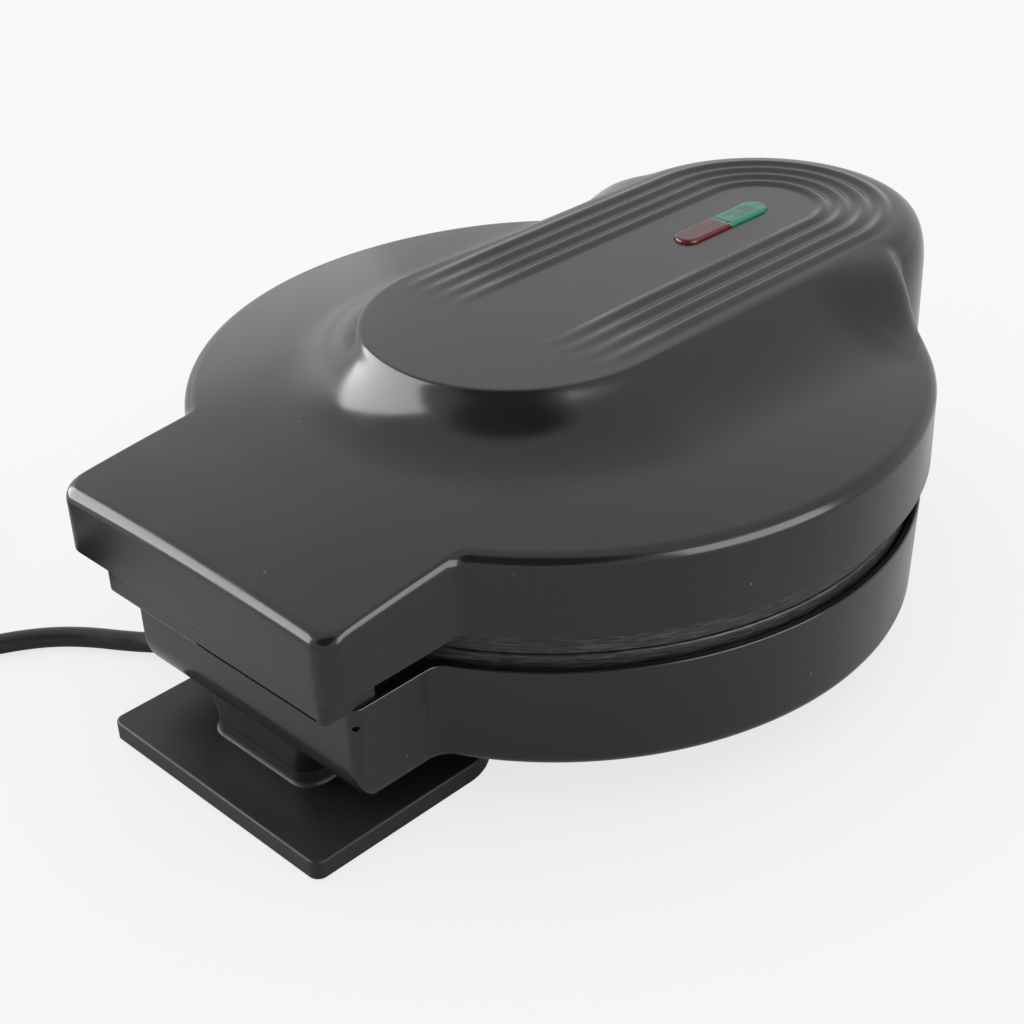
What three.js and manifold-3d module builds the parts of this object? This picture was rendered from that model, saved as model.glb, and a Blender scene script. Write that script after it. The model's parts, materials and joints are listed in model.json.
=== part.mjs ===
// Electric pizza maker: a round two-plate cooker with a hinged lid, a ridged raised top that runs
// out into the lifting handle, a rear foot stand whose neck takes the wound cord, and its mains lead.
// Millimetres, +Z up. The lifting handle points to -Y, the hinge is at +Y.

import * as THREE from "three";
import { mergeVertices } from "three/addons/utils/BufferGeometryUtils.js";
import Module from "manifold-3d";

const wasm = await Module();
wasm.setup();

// Driving sizes

const gap = 0.3; // clearance kept between separate pieces
const overrun = 2; // how far a cutting tool runs past what it cuts
const seamZ = 72.85; // height at which the two cooking plates meet

const lid = {
  radius: 155,
  blockHalf: 79.5,
  blockReach: 40,
  rearCorner: 8.8,
  blockFillet: 9.5,
  handleTuckShare: 0.295,
  handleRadius: 74.5,
  handleFillet: 12,
  skirtZ: 84.8,
  wall: 2.6,
  edgeFillet: 4.8,
  domeTop: 126.6,
  domeRadius: 1460,
};
lid.rear = lid.radius + lid.blockReach;
lid.handleCentre = lid.radius - lid.handleRadius * lid.handleTuckShare;

// The raised top: a long oval whose axis runs from rearCentre to the handle's centre
const top = {
  handleEdge: 10.1,
  rearCentre: 21.6,
  height: 145.7,
  crownRadius: 30000,
  shoulder: 2.2,
  flankRun: 20.5,
  frontDrop: 24,
  ridges: 4,
  ridgePitch: 9,
  firstRidge: 9.2,
  ridgeHeight: 1.3,
  fadeStart: 28,
  fadeEnd: -12,
  flatHalf: 14,
};
top.half = lid.handleRadius - top.handleEdge;

const lens = { width: 12, length: 57, fromHandle: 27.4, proud: 1.7, edge: 1.4, flange: 1.6, flangeDepth: 1.5 };
lens.centreY = lens.fromHandle - lid.handleCentre;
const lamp = { radius: 3.2, length: 17, holderWidth: 24, holderThick: 2.2, postRadius: 3 };

const base = {
  rimZ: 67.9,
  bottomZ: 22.8,
  rimInset: 2.8,
  bottomInset: 4.6,
  sideInset: 13.3,
  rearInset: 18.4,
  rearRound: 17,
  rearTuck: 13,
  bottomFillet: 5.2,
  noseTuck: 6,
  noseInset: 10.5,
  noseFillet: 14,
  wall: 2.4,
  rimRound: 0.8,
};
base.rimRadius = lid.radius - base.rimInset;
base.bottomRadius = lid.radius - base.bottomInset;
base.blockHalf = lid.blockHalf - base.sideInset;
base.rear = lid.rear - base.rearInset;
base.noseCentre = lid.handleCentre - base.noseTuck;
base.noseRadius = lid.handleRadius - base.noseInset;

const hinge = {
  fromRear: 17.2,
  belowSkirt: 9.7,
  pinRadius: 2,
  eyeRadius: 6,
  earWidth: 12,
  earInset: 5,
  earBar: 4.4,
  earForward: 10.4,
  webWidth: 3,
};
hinge.y = lid.rear - hinge.fromRear;
hinge.z = lid.skirtZ - hinge.belowSkirt;

// The hinge trough stands on the rear of the base and overhangs the wall below it. Its heights are
// measured from the hinge's axis.
const trough = { ahead: 13.7, behind: 10.3, below: 8.7, rearRise: 3.3, frontRise: 5, cheekRise: 11.5, wall: 2.5, corner: 3.5, lip: 1.8 };
trough.front = hinge.y - trough.ahead;
trough.rear = hinge.y + trough.behind;
trough.bottomZ = hinge.z - trough.below;
trough.rearTopZ = hinge.z + trough.rearRise;
trough.frontTopZ = hinge.z + trough.frontRise;
trough.cheekTopZ = hinge.z + trough.cheekRise;

const plate = {
  inset: 7,
  rimWidth: 8.5,
  rimEase: 1,
  recess: 12,
  slope: 5,
  thick: 2.8,
  skirt: 11.4,
  skirtThick: 2.5,
  studRadius: 2,
  studCircleShare: 0.42,
  studLength: 16,
  studs: 3,
};
plate.radius = lid.radius - plate.inset;
plate.studCircle = plate.radius * plate.studCircleShare;

const shield = { inset: 17, drop: 11, thick: 1, earWidth: 16, earHoleRadius: 2.3, fixingX: 55, frontBeyond: 9, rearBeyond: 3 };
shield.radius = plate.radius - shield.inset;
const shieldFixings = [
  { x: shield.fixingX, y: plate.radius + shield.rearBeyond },
  { x: -shield.fixingX, y: plate.radius + shield.rearBeyond },
  { x: 0, y: -plate.radius - shield.frontBeyond },
];
const element = { ringShare: 0.64, tubeRadius: 3.2, gapDegrees: 14, legBend: 5.5, legLength: 12, steps: 30, sides: 6 };
element.ringRadius = plate.radius * element.ringShare;
const clip = { width: 10, thick: 1, foot: 8 };
const nut = { acrossCorners: 7.8, thick: 3.2 };
const screw = { headRadius: 3.6, headThick: 2.2, shankRadius: 1.6 };
const boss = { radius: 4.6, hole: 1.95, screwDepth: 9 };

const thermostat = { radius: 8, height: 9.6, tabLength: 13, tabWidth: 6, tabThick: 1, x: 24 };
const fuse = { radius: 2.2, length: 24, strapWidth: 5, strapThick: 0.8, y: -26 };

// Foot stand: a flat foot under the rear with a neck up to the base, round which the lead is wound
const stand = {
  half: 64.4,
  length: 102.5,
  behind: 2.4,
  rearCorner: 4.5,
  frontCorner: 25,
  topZ: 8.9,
  underZ: 0.6,
  wall: 2.5,
  edgeRound: 1.1,
  neckHalf: 30.6,
  neckFlare: 2.6,
  neckLength: 65,
  neckInset: 3.8,
  neckCorner: 9,
  neckBlend: 4.4,
  neckSplitZ: 16,
  screwX: 22,
  screwInset: 9.6,
};
stand.rear = lid.rear + stand.behind;
stand.front = stand.rear - stand.length;
stand.neckRear = base.rear - stand.neckInset;
stand.neckFront = stand.neckRear - stand.neckLength;
stand.screwFrontY = stand.neckFront + stand.screwInset;
stand.screwRearY = stand.neckRear - stand.screwInset;
const pad = { radius: 5.5, height: 2.4, insetSide: 11, insetFront: 20, insetRear: 10, peg: 1.2, pegRadius: 2.4 };
const leg = { x: 82, y: -84, topRadius: 13, bottomRadius: 10, padHeight: 3, padInset: 1.2, ledge: 1.6 };
const liner = { thick: 2.2, rise: 1.5, clearance: 0.8, troughClearance: 3.4, plateClearance: 1.2 };
liner.z = lid.skirtZ + liner.rise;
liner.rear = trough.front - liner.troughClearance;
const terminal = { length: 30, width: 15, height: 12, cells: 3, besideNeck: 20, fromFront: 12.5 };
terminal.x = -stand.neckHalf - terminal.besideNeck;
terminal.y = stand.neckFront + terminal.fromFront;

// The supply lead
const cord = { radius: 4.45, lift: 0.05, sides: 8, coilSides: 6, coilSteps: 24, pitch: 9.6, layerRise: 9.6, lowerTurns: 1, upperTurns: 1 };
const relief = { fromRear: 32, rootRadius: 6.4, tipRadius: 5.3, length: 28, flangeThick: 2.5, grip: 2, lead: 4 };
relief.y = stand.neckRear - relief.fromRear;
const coil = { x: 224, y: 235.4, outerRadius: 53, startDegrees: 168.5, tieDegrees: 258.5 };
const plug = { length: 36, width: 27, height: 26, corner: 7, neckLength: 16, neckRadius: 6.4, wall: 0.9, face: 1 };
const blade = { length: 16, width: 6.35, thick: 1.5, spacing: 12.7, earthRadius: 2.4, earthLength: 19, earthDrop: 7, sink: 2 };
const tie = { width: 9, thick: 0.9 };

// Materials

const glossBlack = new THREE.MeshStandardMaterial({ color: 0x0d0d0e, roughness: 0.22, metalness: 0 });
const satinBlack = new THREE.MeshStandardMaterial({ color: 0x121213, roughness: 0.55, metalness: 0 });
const castPlate = new THREE.MeshStandardMaterial({ color: 0x1c1b1a, roughness: 0.5, metalness: 0.6 });
const sheetSteel = new THREE.MeshStandardMaterial({ color: 0x9a9c9e, roughness: 0.4, metalness: 1 });
const darkSheath = new THREE.MeshStandardMaterial({ color: 0x4a4744, roughness: 0.5, metalness: 0.8 });
const redGlass = new THREE.MeshStandardMaterial({ color: 0x5a0d12, roughness: 0.15, metalness: 0 });
const greenGlass = new THREE.MeshStandardMaterial({ color: 0x0b7a55, roughness: 0.15, metalness: 0 });
const lampGlass = new THREE.MeshStandardMaterial({ color: 0xd8a070, roughness: 0.1, metalness: 0 });
const rubber = new THREE.MeshStandardMaterial({ color: 0x151515, roughness: 0.85, metalness: 0 });
const ceramic = new THREE.MeshStandardMaterial({ color: 0xe8e2d4, roughness: 0.6, metalness: 0 });
const sleeving = new THREE.MeshStandardMaterial({ color: 0xcfc6ae, roughness: 0.9, metalness: 0 });
const brass = new THREE.MeshStandardMaterial({ color: 0xb08d4f, roughness: 0.35, metalness: 1 });

// Shape helpers

const V2 = (x, y) => new THREE.Vector2(x, y);
const V3 = (x, y, z) => new THREE.Vector3(x, y, z);
const rad = THREE.MathUtils.degToRad;
const { lerp, smoothstep } = THREE.MathUtils;

// A closed geometry as a solid that can be joined and cut
function solid(geometry, matrix) {
  const bare = geometry.index ? geometry.toNonIndexed() : geometry.clone();
  const positions = new THREE.BufferGeometry().setAttribute("position", bare.getAttribute("position"));
  if (matrix) positions.applyMatrix4(matrix);
  const merged = mergeVertices(positions, 1e-4);
  return new wasm.Manifold(
    new wasm.Mesh({
      numProp: 3,
      vertProperties: merged.attributes.position.array,
      triVerts: new Uint32Array(merged.index.array),
    }),
  );
}

const at = (x, y, z) => new THREE.Matrix4().makeTranslation(x, y, z);
const moved = (geometry, x, y, z) => solid(geometry, at(x, y, z));

// A solid as a named mesh
function mesh(name, body, material) {
  const data = body.getMesh();
  const positions = new Float32Array(data.numVert * 3);
  for (let i = 0; i < data.numVert; i++) {
    for (let k = 0; k < 3; k++) positions[i * 3 + k] = data.vertProperties[i * data.numProp + k];
  }
  const geometry = new THREE.BufferGeometry();
  geometry.setAttribute("position", new THREE.BufferAttribute(positions, 3));
  geometry.setIndex(new THREE.BufferAttribute(data.triVerts, 1));
  geometry.computeVertexNormals();
  const made = new THREE.Mesh(geometry, material);
  made.name = name;
  return made;
}

// Upright cylinder or cone from z0 to z1
function post(x, y, z0, z1, radius0, radius1 = radius0, sides = 10) {
  const shape = new THREE.CylinderGeometry(radius1, radius0, z1 - z0, sides);
  shape.rotateX(Math.PI / 2);
  return moved(shape, x, y, (z0 + z1) / 2);
}

// Box between two corners
function block(x0, x1, y0, y1, z0, z1) {
  return moved(new THREE.BoxGeometry(x1 - x0, y1 - y0, z1 - z0), (x0 + x1) / 2, (y0 + y1) / 2, (z0 + z1) / 2);
}

// Cylinder along X from x0 to x1
function rod(x0, x1, y, z, radius, sides = 16) {
  const shape = new THREE.CylinderGeometry(radius, radius, x1 - x0, sides);
  shape.rotateZ(Math.PI / 2);
  return moved(shape, (x0 + x1) / 2, y, z);
}

// Solid through a list of rings with equal counts, the first and last closed by flat faces.
// Rings run anticlockwise seen from above, from the lower end face to the upper one.
function loft(rings) {
  const count = rings[0].length;
  const positions = rings.flat().flatMap((p) => [p.x, p.y, p.z]);
  const index = [];
  for (let r = 0; r + 1 < rings.length; r++) {
    for (let i = 0; i < count; i++) {
      const a = r * count + i;
      const b = r * count + ((i + 1) % count);
      index.push(a, b, b + count, a, b + count, a + count);
    }
  }
  // each end face is zipped up in rows across its two sides
  const last = (rings.length - 1) * count;
  for (let i = 0, j = count - 1; i < j; i++) {
    if (i + 1 < j) {
      index.push(i, j, i + 1, last + i, last + i + 1, last + j);
      index.push(i + 1, j, j - 1, last + i + 1, last + j - 1, last + j);
    }
    j--;
  }
  const geometry = new THREE.BufferGeometry();
  geometry.setAttribute("position", new THREE.Float32BufferAttribute(positions, 3));
  geometry.setIndex(index);
  return geometry;
}

// Prism of a plan outline between two heights
function prism(points, z0, z1) {
  return solid(loft([points.map((p) => V3(p.x, p.y, z0)), points.map((p) => V3(p.x, p.y, z1))]));
}

// Turned body about a vertical axis from [radius, height] pairs
function turned(pairs, segments = 60) {
  const shape = new THREE.LatheGeometry(pairs.map(([r, z]) => V2(r, z)), segments);
  shape.rotateX(Math.PI / 2);
  return solid(shape);
}

// Round tube along a curve
function tube(curve, radius, sides, steps) {
  const ring = new THREE.Shape();
  for (let i = 0; i < sides; i++) {
    const turn = (i / sides) * 2 * Math.PI;
    const point = V2(radius * Math.cos(turn), radius * Math.sin(turn));
    if (i) ring.lineTo(point.x, point.y);
    else ring.moveTo(point.x, point.y);
  }
  ring.closePath();
  return solid(new THREE.ExtrudeGeometry(ring, { steps, extrudePath: curve, bevelEnabled: false, curveSegments: 1 }));
}

// Points of an arc, ends included
function arc(cx, cy, radius, from, to, steps) {
  return Array.from({ length: steps + 1 }, (_, i) => {
    const turn = lerp(from, to, i / steps);
    return V2(cx + radius * Math.cos(turn), cy + radius * Math.sin(turn));
  });
}

// Plan outline shared by lid, base and liners: a main circle, a square block at the rear and a
// round-ended handle at the front, all joined by fillets. Anticlockwise from the handle's tip.
function outline({ radius, blockHalf, rear, corner, fillet, noseCentre, noseRadius, noseFillet }) {
  const reachSquared = (radius + noseFillet) ** 2;
  const noseY = -(reachSquared - (noseRadius + noseFillet) ** 2 + noseCentre ** 2) / (2 * noseCentre);
  const noseX = Math.sqrt(reachSquared - noseY ** 2);
  const toNose = Math.atan2(noseY + noseCentre, noseX);
  const circleFrom = Math.atan2(noseY, noseX);
  const blockX = blockHalf + fillet;
  const blockY = Math.sqrt((radius + fillet) ** 2 - blockX ** 2);
  const circleTo = Math.atan2(blockY, blockX);
  const half = [
    ...arc(0, -noseCentre, noseRadius, -Math.PI / 2, toNose, 8),
    ...arc(noseX, noseY, noseFillet, toNose + Math.PI, circleFrom + Math.PI, 3),
    ...arc(0, 0, radius, circleFrom, circleTo, 15),
    ...arc(blockX, blockY, fillet, circleTo + Math.PI, Math.PI, 3),
    V2(blockHalf, (blockY + rear) / 2),
    ...arc(blockHalf - corner, rear - corner, corner, 0, Math.PI / 2, 3),
    V2(blockHalf / 2, rear),
    V2(0, rear),
  ];
  const right = half.filter((p, i) => !i || p.distanceTo(half[i - 1]) > gap);
  const left = right.slice(1, -1).reverse();
  return [...right, ...left.map((p) => V2(-p.x, p.y))];
}

const lidOutline = (inset) =>
  outline({
    radius: lid.radius - inset,
    blockHalf: lid.blockHalf - inset,
    rear: lid.rear - inset,
    corner: Math.max(lid.rearCorner - inset, gap),
    fillet: lid.blockFillet + inset,
    noseCentre: lid.handleCentre,
    noseRadius: lid.handleRadius - inset,
    noseFillet: lid.handleFillet + inset,
  });

// Where the rays of the raised top's oval cross a plan outline. A ray starts on the oval's axis.
const rays = lidOutline(0).map((p) => {
  const foot = V2(0, THREE.MathUtils.clamp(p.y, -lid.handleCentre, top.rearCentre));
  return { foot, way: p.clone().sub(foot).normalize() };
});

const roundingShare = 1e-9;

function reach({ foot, way }, points) {
  let far = 0;
  points.forEach((a, i) => {
    const side = points[(i + 1) % points.length].clone().sub(a);
    const cross = way.cross(side);
    if (cross === 0) return;
    const start = a.clone().sub(foot);
    const along = start.cross(side) / cross;
    const share = start.cross(way) / cross;
    const crosses = share > -roundingShare && share < 1 + roundingShare;
    if (crosses && along > far) far = along;
  });
  return far;
}

const onRay = ({ foot, way }, distance, z) => V3(foot.x + way.x * distance, foot.y + way.y * distance, z);
const ringOf = (points, z) => rays.map((ray) => onRay(ray, reach(ray, points), z));

// Upper cover

const domeZ = (p) => lid.domeTop - (p.x ** 2 + p.y ** 2) / (2 * lid.domeRadius);
const crownZ = (p) => top.height - (p.x ** 2 + p.y ** 2) / (2 * top.crownRadius);

// Cubic curve through four control heights or distances
const bezier = (a, b, c, d, t) => {
  const s = 1 - t;
  return a * s ** 3 + 3 * b * s * s * t + 3 * c * s * t * t + d * t ** 3;
};

const flankShares = [0, 0.16, 0.36, 0.6, 0.82, 1];
const filletShares = [0, 0.5, 1];

// Outer profile of the cover along one ray, from the wall's foot up to the shoulder
function coverProfile(ray, outerPoints, cut) {
  const wallAt = reach(ray, outerPoints);
  const room = wallAt - top.half;
  const shoulderZ = crownZ(onRay(ray, top.half, 0)) - cut;
  // the flank spreads over the dome where there is room, and falls to the wall at the handle
  const spread = smoothstep(room, top.flankRun / 2, top.flankRun + lid.edgeFillet + top.flankRun / 2);
  const footAt = top.half + Math.min(top.flankRun, lerp(room, top.flankRun, spread));
  const domeFoot = domeZ(onRay(ray, footAt, 0)) - cut;
  const footZ = lerp(shoulderZ - top.frontDrop, domeFoot, spread);
  const flank = flankShares.map((t) => ({
    r: bezier(top.half, lerp(footAt - top.shoulder, top.half + top.shoulder * 2, spread),
      lerp(footAt, top.half + top.shoulder * 3, spread), footAt, t),
    z: bezier(shoulderZ, lerp(shoulderZ - top.shoulder, shoulderZ - top.shoulder / 4, spread),
      lerp(shoulderZ - top.frontDrop / 2, footZ + top.shoulder / 2, spread), footZ, t),
  }));
  const edgeAt = Math.max(wallAt - lid.edgeFillet, footAt);
  const edgeZ = lerp(footZ - top.shoulder, domeZ(onRay(ray, edgeAt, 0)) - cut, spread);
  const middle = { r: lerp(footAt, edgeAt, 0.5), z: lerp(footZ, edgeZ, 0.5) };
  if (spread > 0.5) middle.z = domeZ(onRay(ray, middle.r, 0)) - cut;
  const fillet = filletShares.map((t) => ({
    r: edgeAt + (wallAt - edgeAt) * Math.sin((t * Math.PI) / 2),
    z: edgeZ - lid.edgeFillet * (1 - Math.cos((t * Math.PI) / 2)),
  }));
  return [...flank, middle, ...fillet].reverse();
}

// Height of the ridges at a distance inside the shoulder; they fade out towards the rear
function ridgeZ(inside, y) {
  const phase = (inside - top.firstRidge) / top.ridgePitch;
  const fade = 1 - smoothstep(y, top.fadeEnd, top.fadeStart);
  const within = phase > -0.5 && phase < top.ridges - 0.5;
  return within ? (fade * top.ridgeHeight * (1 + Math.cos(2 * Math.PI * phase))) / 2 : 0;
}

function coverRings() {
  const outer = lidOutline(0);
  const inner = lidOutline(lid.wall);
  const ringsFrom = (profiles) => profiles[0].map((_, k) => profiles.map((p, i) => onRay(rays[i], p[k].r, p[k].z)));
  const innerWall = rays.map((ray) => reach(ray, inner));
  const pocketAt = (ray, i) => Math.min(top.half - lid.wall, innerWall[i] - lid.wall);
  const pocketZ = (ray) => crownZ(onRay(ray, top.half, 0)) - lid.wall;
  const floor = rays.map((ray, i) => {
    const profile = coverProfile(ray, inner, lid.wall);
    const edge = filletShares.length;
    return [profile[0], profile[edge], profile[edge + 3]].map((p) => ({ r: Math.min(p.r, innerWall[i]), z: p.z }));
  });
  const ceiling = rays.map((ray, i) => onRay(ray, pocketAt(ray, i) - top.shoulder, pocketZ(ray)));
  const skirtIn = rays.map((ray, i) => onRay(ray, innerWall[i], lid.skirtZ));
  const skirtOut = rays.map((ray) => onRay(ray, reach(ray, outer), lid.skirtZ));
  const outside = rays.map((ray) => coverProfile(ray, outer, 0));
  const ridgeStep = top.ridgePitch / 2;
  const ridgeRings = [];
  for (let k = 0; k <= 2 * top.ridges; k++) {
    const inside = top.firstRidge - ridgeStep + k * ridgeStep;
    ridgeRings.push(
      rays.map((ray) => {
        const p = onRay(ray, top.half - inside, 0);
        return p.setZ(crownZ(p) + ridgeZ(inside, p.y));
      }),
    );
  }
  const middle = rays.map((ray) => {
    const p = onRay(ray, top.flatHalf, 0);
    return p.setZ(crownZ(p));
  });
  const innerRings = ringsFrom(floor).reverse();
  return [ceiling, ...innerRings, skirtIn, skirtOut, ...ringsFrom(outside), ...ridgeRings, middle];
}

// Long oval in plan, its ends half round, centred on x = 0 and running along Y
function oval(width, length, centreY, steps = 8) {
  const r = width / 2;
  const half = length / 2 - r;
  return [...arc(0, centreY + half, r, 0, Math.PI, steps), ...arc(0, centreY - half, r, Math.PI, 2 * Math.PI, steps)];
}

const lensTopZ = crownZ(V3(0, lens.centreY, 0)) + lens.proud;
const lensSeatZ = crownZ(V3(top.half, lens.centreY - lens.length, 0)) - lid.wall - gap;

// Ear that carries the lid on its hinge pin, in the hinge's own Y and Z
function earShape() {
  const roofZ = domeZ(V3(lid.blockHalf, hinge.y, 0)) - lid.wall + overrun / 2 - hinge.z;
  const barFront = -hinge.earForward;
  const barRear = barFront + hinge.earBar;
  const shape = new THREE.Shape();
  shape.moveTo(barFront, -hinge.pinRadius);
  shape.lineTo(-hinge.pinRadius, -hinge.eyeRadius + gap);
  shape.absarc(0, 0, hinge.eyeRadius, -Math.PI * 0.6, Math.PI * 0.55, false);
  shape.lineTo(barRear, hinge.eyeRadius);
  shape.lineTo(barRear, roofZ);
  shape.lineTo(barFront, roofZ);
  shape.closePath();
  const bore = new THREE.Path();
  bore.absarc(0, 0, hinge.pinRadius + gap, 0, 2 * Math.PI, true);
  shape.holes.push(bore);
  return shape;
}

// Extrude a Y-Z profile along X from x0 to x1
function extrudeX(shape, x0, x1, y, z, curveSegments = 8) {
  const body = new THREE.ExtrudeGeometry(shape, { depth: x1 - x0, bevelEnabled: false, curveSegments });
  body.rotateZ(Math.PI / 2);
  body.rotateY(Math.PI / 2);
  return moved(body, x0, y, z);
}

const cheekInner = base.blockHalf - trough.wall;
const earOuterX = cheekInner - hinge.earInset / 2;
const earInnerX = earOuterX - hinge.earWidth;
const webOuterX = earInnerX - hinge.earInset / 2;
const webInnerX = webOuterX - hinge.webWidth;

const shieldZ = { lower: seamZ - plate.recess - plate.thick - gap - shield.drop };
shieldZ.upper = 2 * seamZ - shieldZ.lower;

function upperCover() {
  const seat = oval(lens.width + 4 * lens.flange, lens.length + 4 * lens.flange, lens.centreY);
  let body = solid(loft(coverRings())).add(prism(seat, lensSeatZ, lensSeatZ + lid.wall));
  const slot = oval(lens.width + 2 * gap, lens.length + 2 * gap, lens.centreY);
  body = body.subtract(prism(slot, lid.skirtZ, lensTopZ + overrun));
  for (const side of [-1, 1]) {
    const ear = extrudeX(earShape(), Math.min(side * earInnerX, side * earOuterX),
      Math.max(side * earInnerX, side * earOuterX), hinge.y, hinge.z);
    body = body.add(ear);
  }
  const pillarFoot = shieldZ.upper + shield.thick + gap;
  for (const { x, y } of shieldFixings) {
    const roof = y > 0 ? domeZ(V3(x, y, 0)) - lid.wall / 2 : lensSeatZ + lid.wall;
    body = body.add(post(x, y, pillarFoot, roof, boss.radius));
    body = body.subtract(post(x, y, pillarFoot - overrun, pillarFoot + boss.screwDepth + overrun, boss.hole, boss.hole, 8));
  }
  for (const y of [lens.centreY - holderReach, lens.centreY + holderReach]) {
    body = body.add(post(0, y, holderZ + lamp.holderThick + gap, lensSeatZ + lid.wall, lamp.postRadius, lamp.postRadius, 10));
  }
  return body;
}

// Signal lenses, lamps and their holder

const holderZ = lensSeatZ - lens.flangeDepth - 4 * lamp.radius - lamp.holderThick;
const cradleZ = holderZ + lamp.holderThick;
const holderReach = lens.length / 2 + lens.flange + lamp.postRadius + gap;

function lensHalf(sign) {
  const inner = (points, inset) => points.map((p) => V2(p.x * (1 - (2 * inset) / lens.width),
    lens.centreY + (p.y - lens.centreY) * (1 - (2 * inset) / lens.length)));
  const rim = oval(lens.width, lens.length, lens.centreY);
  const flat = (points, z) => points.map((p) => V3(p.x, p.y, z));
  const crown = loft([
    flat(rim, lensSeatZ - gap - lens.flangeDepth / 2),
    flat(rim, lensTopZ - lens.edge),
    flat(inner(rim, lens.edge / 3), lensTopZ - lens.edge / 3),
    flat(inner(rim, lens.edge), lensTopZ),
  ]);
  const flange = oval(lens.width + 2 * lens.flange, lens.length + 2 * lens.flange, lens.centreY);
  let body = solid(crown).add(prism(flange, lensSeatZ - gap - lens.flangeDepth, lensSeatZ - gap));
  const wide = lens.width;
  const long = lens.length;
  const cutFrom = sign > 0 ? lens.centreY - long : lens.centreY - gap / 2;
  const cutTo = sign > 0 ? lens.centreY + gap / 2 : lens.centreY + long;
  body = body.subtract(block(-wide, wide, cutFrom, cutTo, lensSeatZ - wide, lensTopZ + overrun));
  return body;
}

function lampHolder() {
  const wide = lamp.holderWidth / 2;
  const long = holderReach + 1.4 * lamp.postRadius;
  let body = block(-wide, wide, lens.centreY - long, lens.centreY + long, holderZ, cradleZ);
  const cradleHalf = lamp.radius + lid.wall / 2;
  for (const sign of [-1, 1]) {
    const y = lens.centreY + (sign * lens.length) / 4;
    const ends = block(-cradleHalf, cradleHalf, y - lamp.length / 3, y + lamp.length / 3, cradleZ - gap, cradleZ + lamp.radius);
    const bed = new THREE.CylinderGeometry(lamp.radius + gap, lamp.radius + gap, lamp.length * 2, 12);
    body = body.add(ends).subtract(moved(bed, 0, y, cradleZ + gap + lamp.radius));
  }
  return body;
}

function signalLamp(sign) {
  const glass = new THREE.CapsuleGeometry(lamp.radius, lamp.length - 2 * lamp.radius, 2, 8);
  return moved(glass, 0, lens.centreY + (sign * lens.length) / 4, cradleZ + gap + lamp.radius);
}

// Liners that close the lid's handle and block from below

const plateHole = plate.radius + liner.plateClearance;

function lidLiner(part) {
  const sheet = prism(lidOutline(lid.wall + liner.clearance), liner.z, liner.z + liner.thick);
  const hole = post(0, 0, liner.z - overrun, liner.z + liner.thick + overrun, plateHole, plateHole, 72);
  const wide = lid.radius * 2;
  const rearEdge = part === "rear" ? liner.rear : 0;
  const split = part === "rear" ? lid.blockHalf : -lid.handleCentre + lid.handleRadius / 2;
  let body = sheet.subtract(hole);
  if (part === "rear") {
    body = body.subtract(block(-wide, wide, -wide, split, liner.z - overrun, liner.z + liner.thick + overrun));
    body = body.subtract(block(-wide, wide, rearEdge, wide, liner.z - overrun, liner.z + liner.thick + overrun));
  } else {
    body = body.subtract(block(-wide, wide, split, wide, liner.z - overrun, liner.z + liner.thick + overrun));
  }
  const pegTop = shieldZ.upper - shield.thick - screw.headThick - 2 * gap;
  const spots = part === "rear" ? shieldFixings.slice(0, 2) : shieldFixings.slice(2);
  for (const { x, y } of spots) {
    body = body.add(post(x, y, liner.z + liner.thick - gap, pegTop - gap, screw.headRadius, screw.headRadius, 12));
  }
  return body;
}

// Cooking plates: a shallow dish with a flat rim and a short outer skirt, the same above and below

function cookingPlate() {
  const r = plate.radius;
  const rimIn = r - plate.rimWidth;
  const floorR = rimIn - plate.slope;
  const topZ = seamZ - gap / 2;
  const floorZ = topZ - plate.recess;
  const underRim = topZ - plate.thick;
  const skirtIn = r - plate.skirtThick;
  let body = turned([
    [0, floorZ - plate.thick],
    [floorR + plate.rimEase, floorZ - plate.thick],
    [rimIn + plate.rimEase, underRim],
    [skirtIn, underRim],
    [skirtIn, topZ - plate.skirt],
    [r, topZ - plate.skirt],
    [r, topZ - plate.rimEase],
    [r - plate.rimEase, topZ],
    [rimIn, topZ],
    [rimIn - plate.rimEase, topZ - plate.rimEase],
    [floorR, floorZ + plate.rimEase],
    [floorR - plate.rimEase * 2, floorZ],
    [0, floorZ],
  ], 44);
  for (let i = 0; i < plate.studs; i++) {
    const turn = (2 * Math.PI * i) / plate.studs + Math.PI / 2;
    const x = plate.studCircle * Math.cos(turn);
    const y = plate.studCircle * Math.sin(turn);
    const from = floorZ - plate.thick + gap;
    body = body.add(post(x, y, from - plate.studLength, from, plate.studRadius, plate.studRadius, 8));
  }
  return body;
}

const plateUnder = seamZ - gap / 2 - plate.recess - plate.thick;

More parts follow.
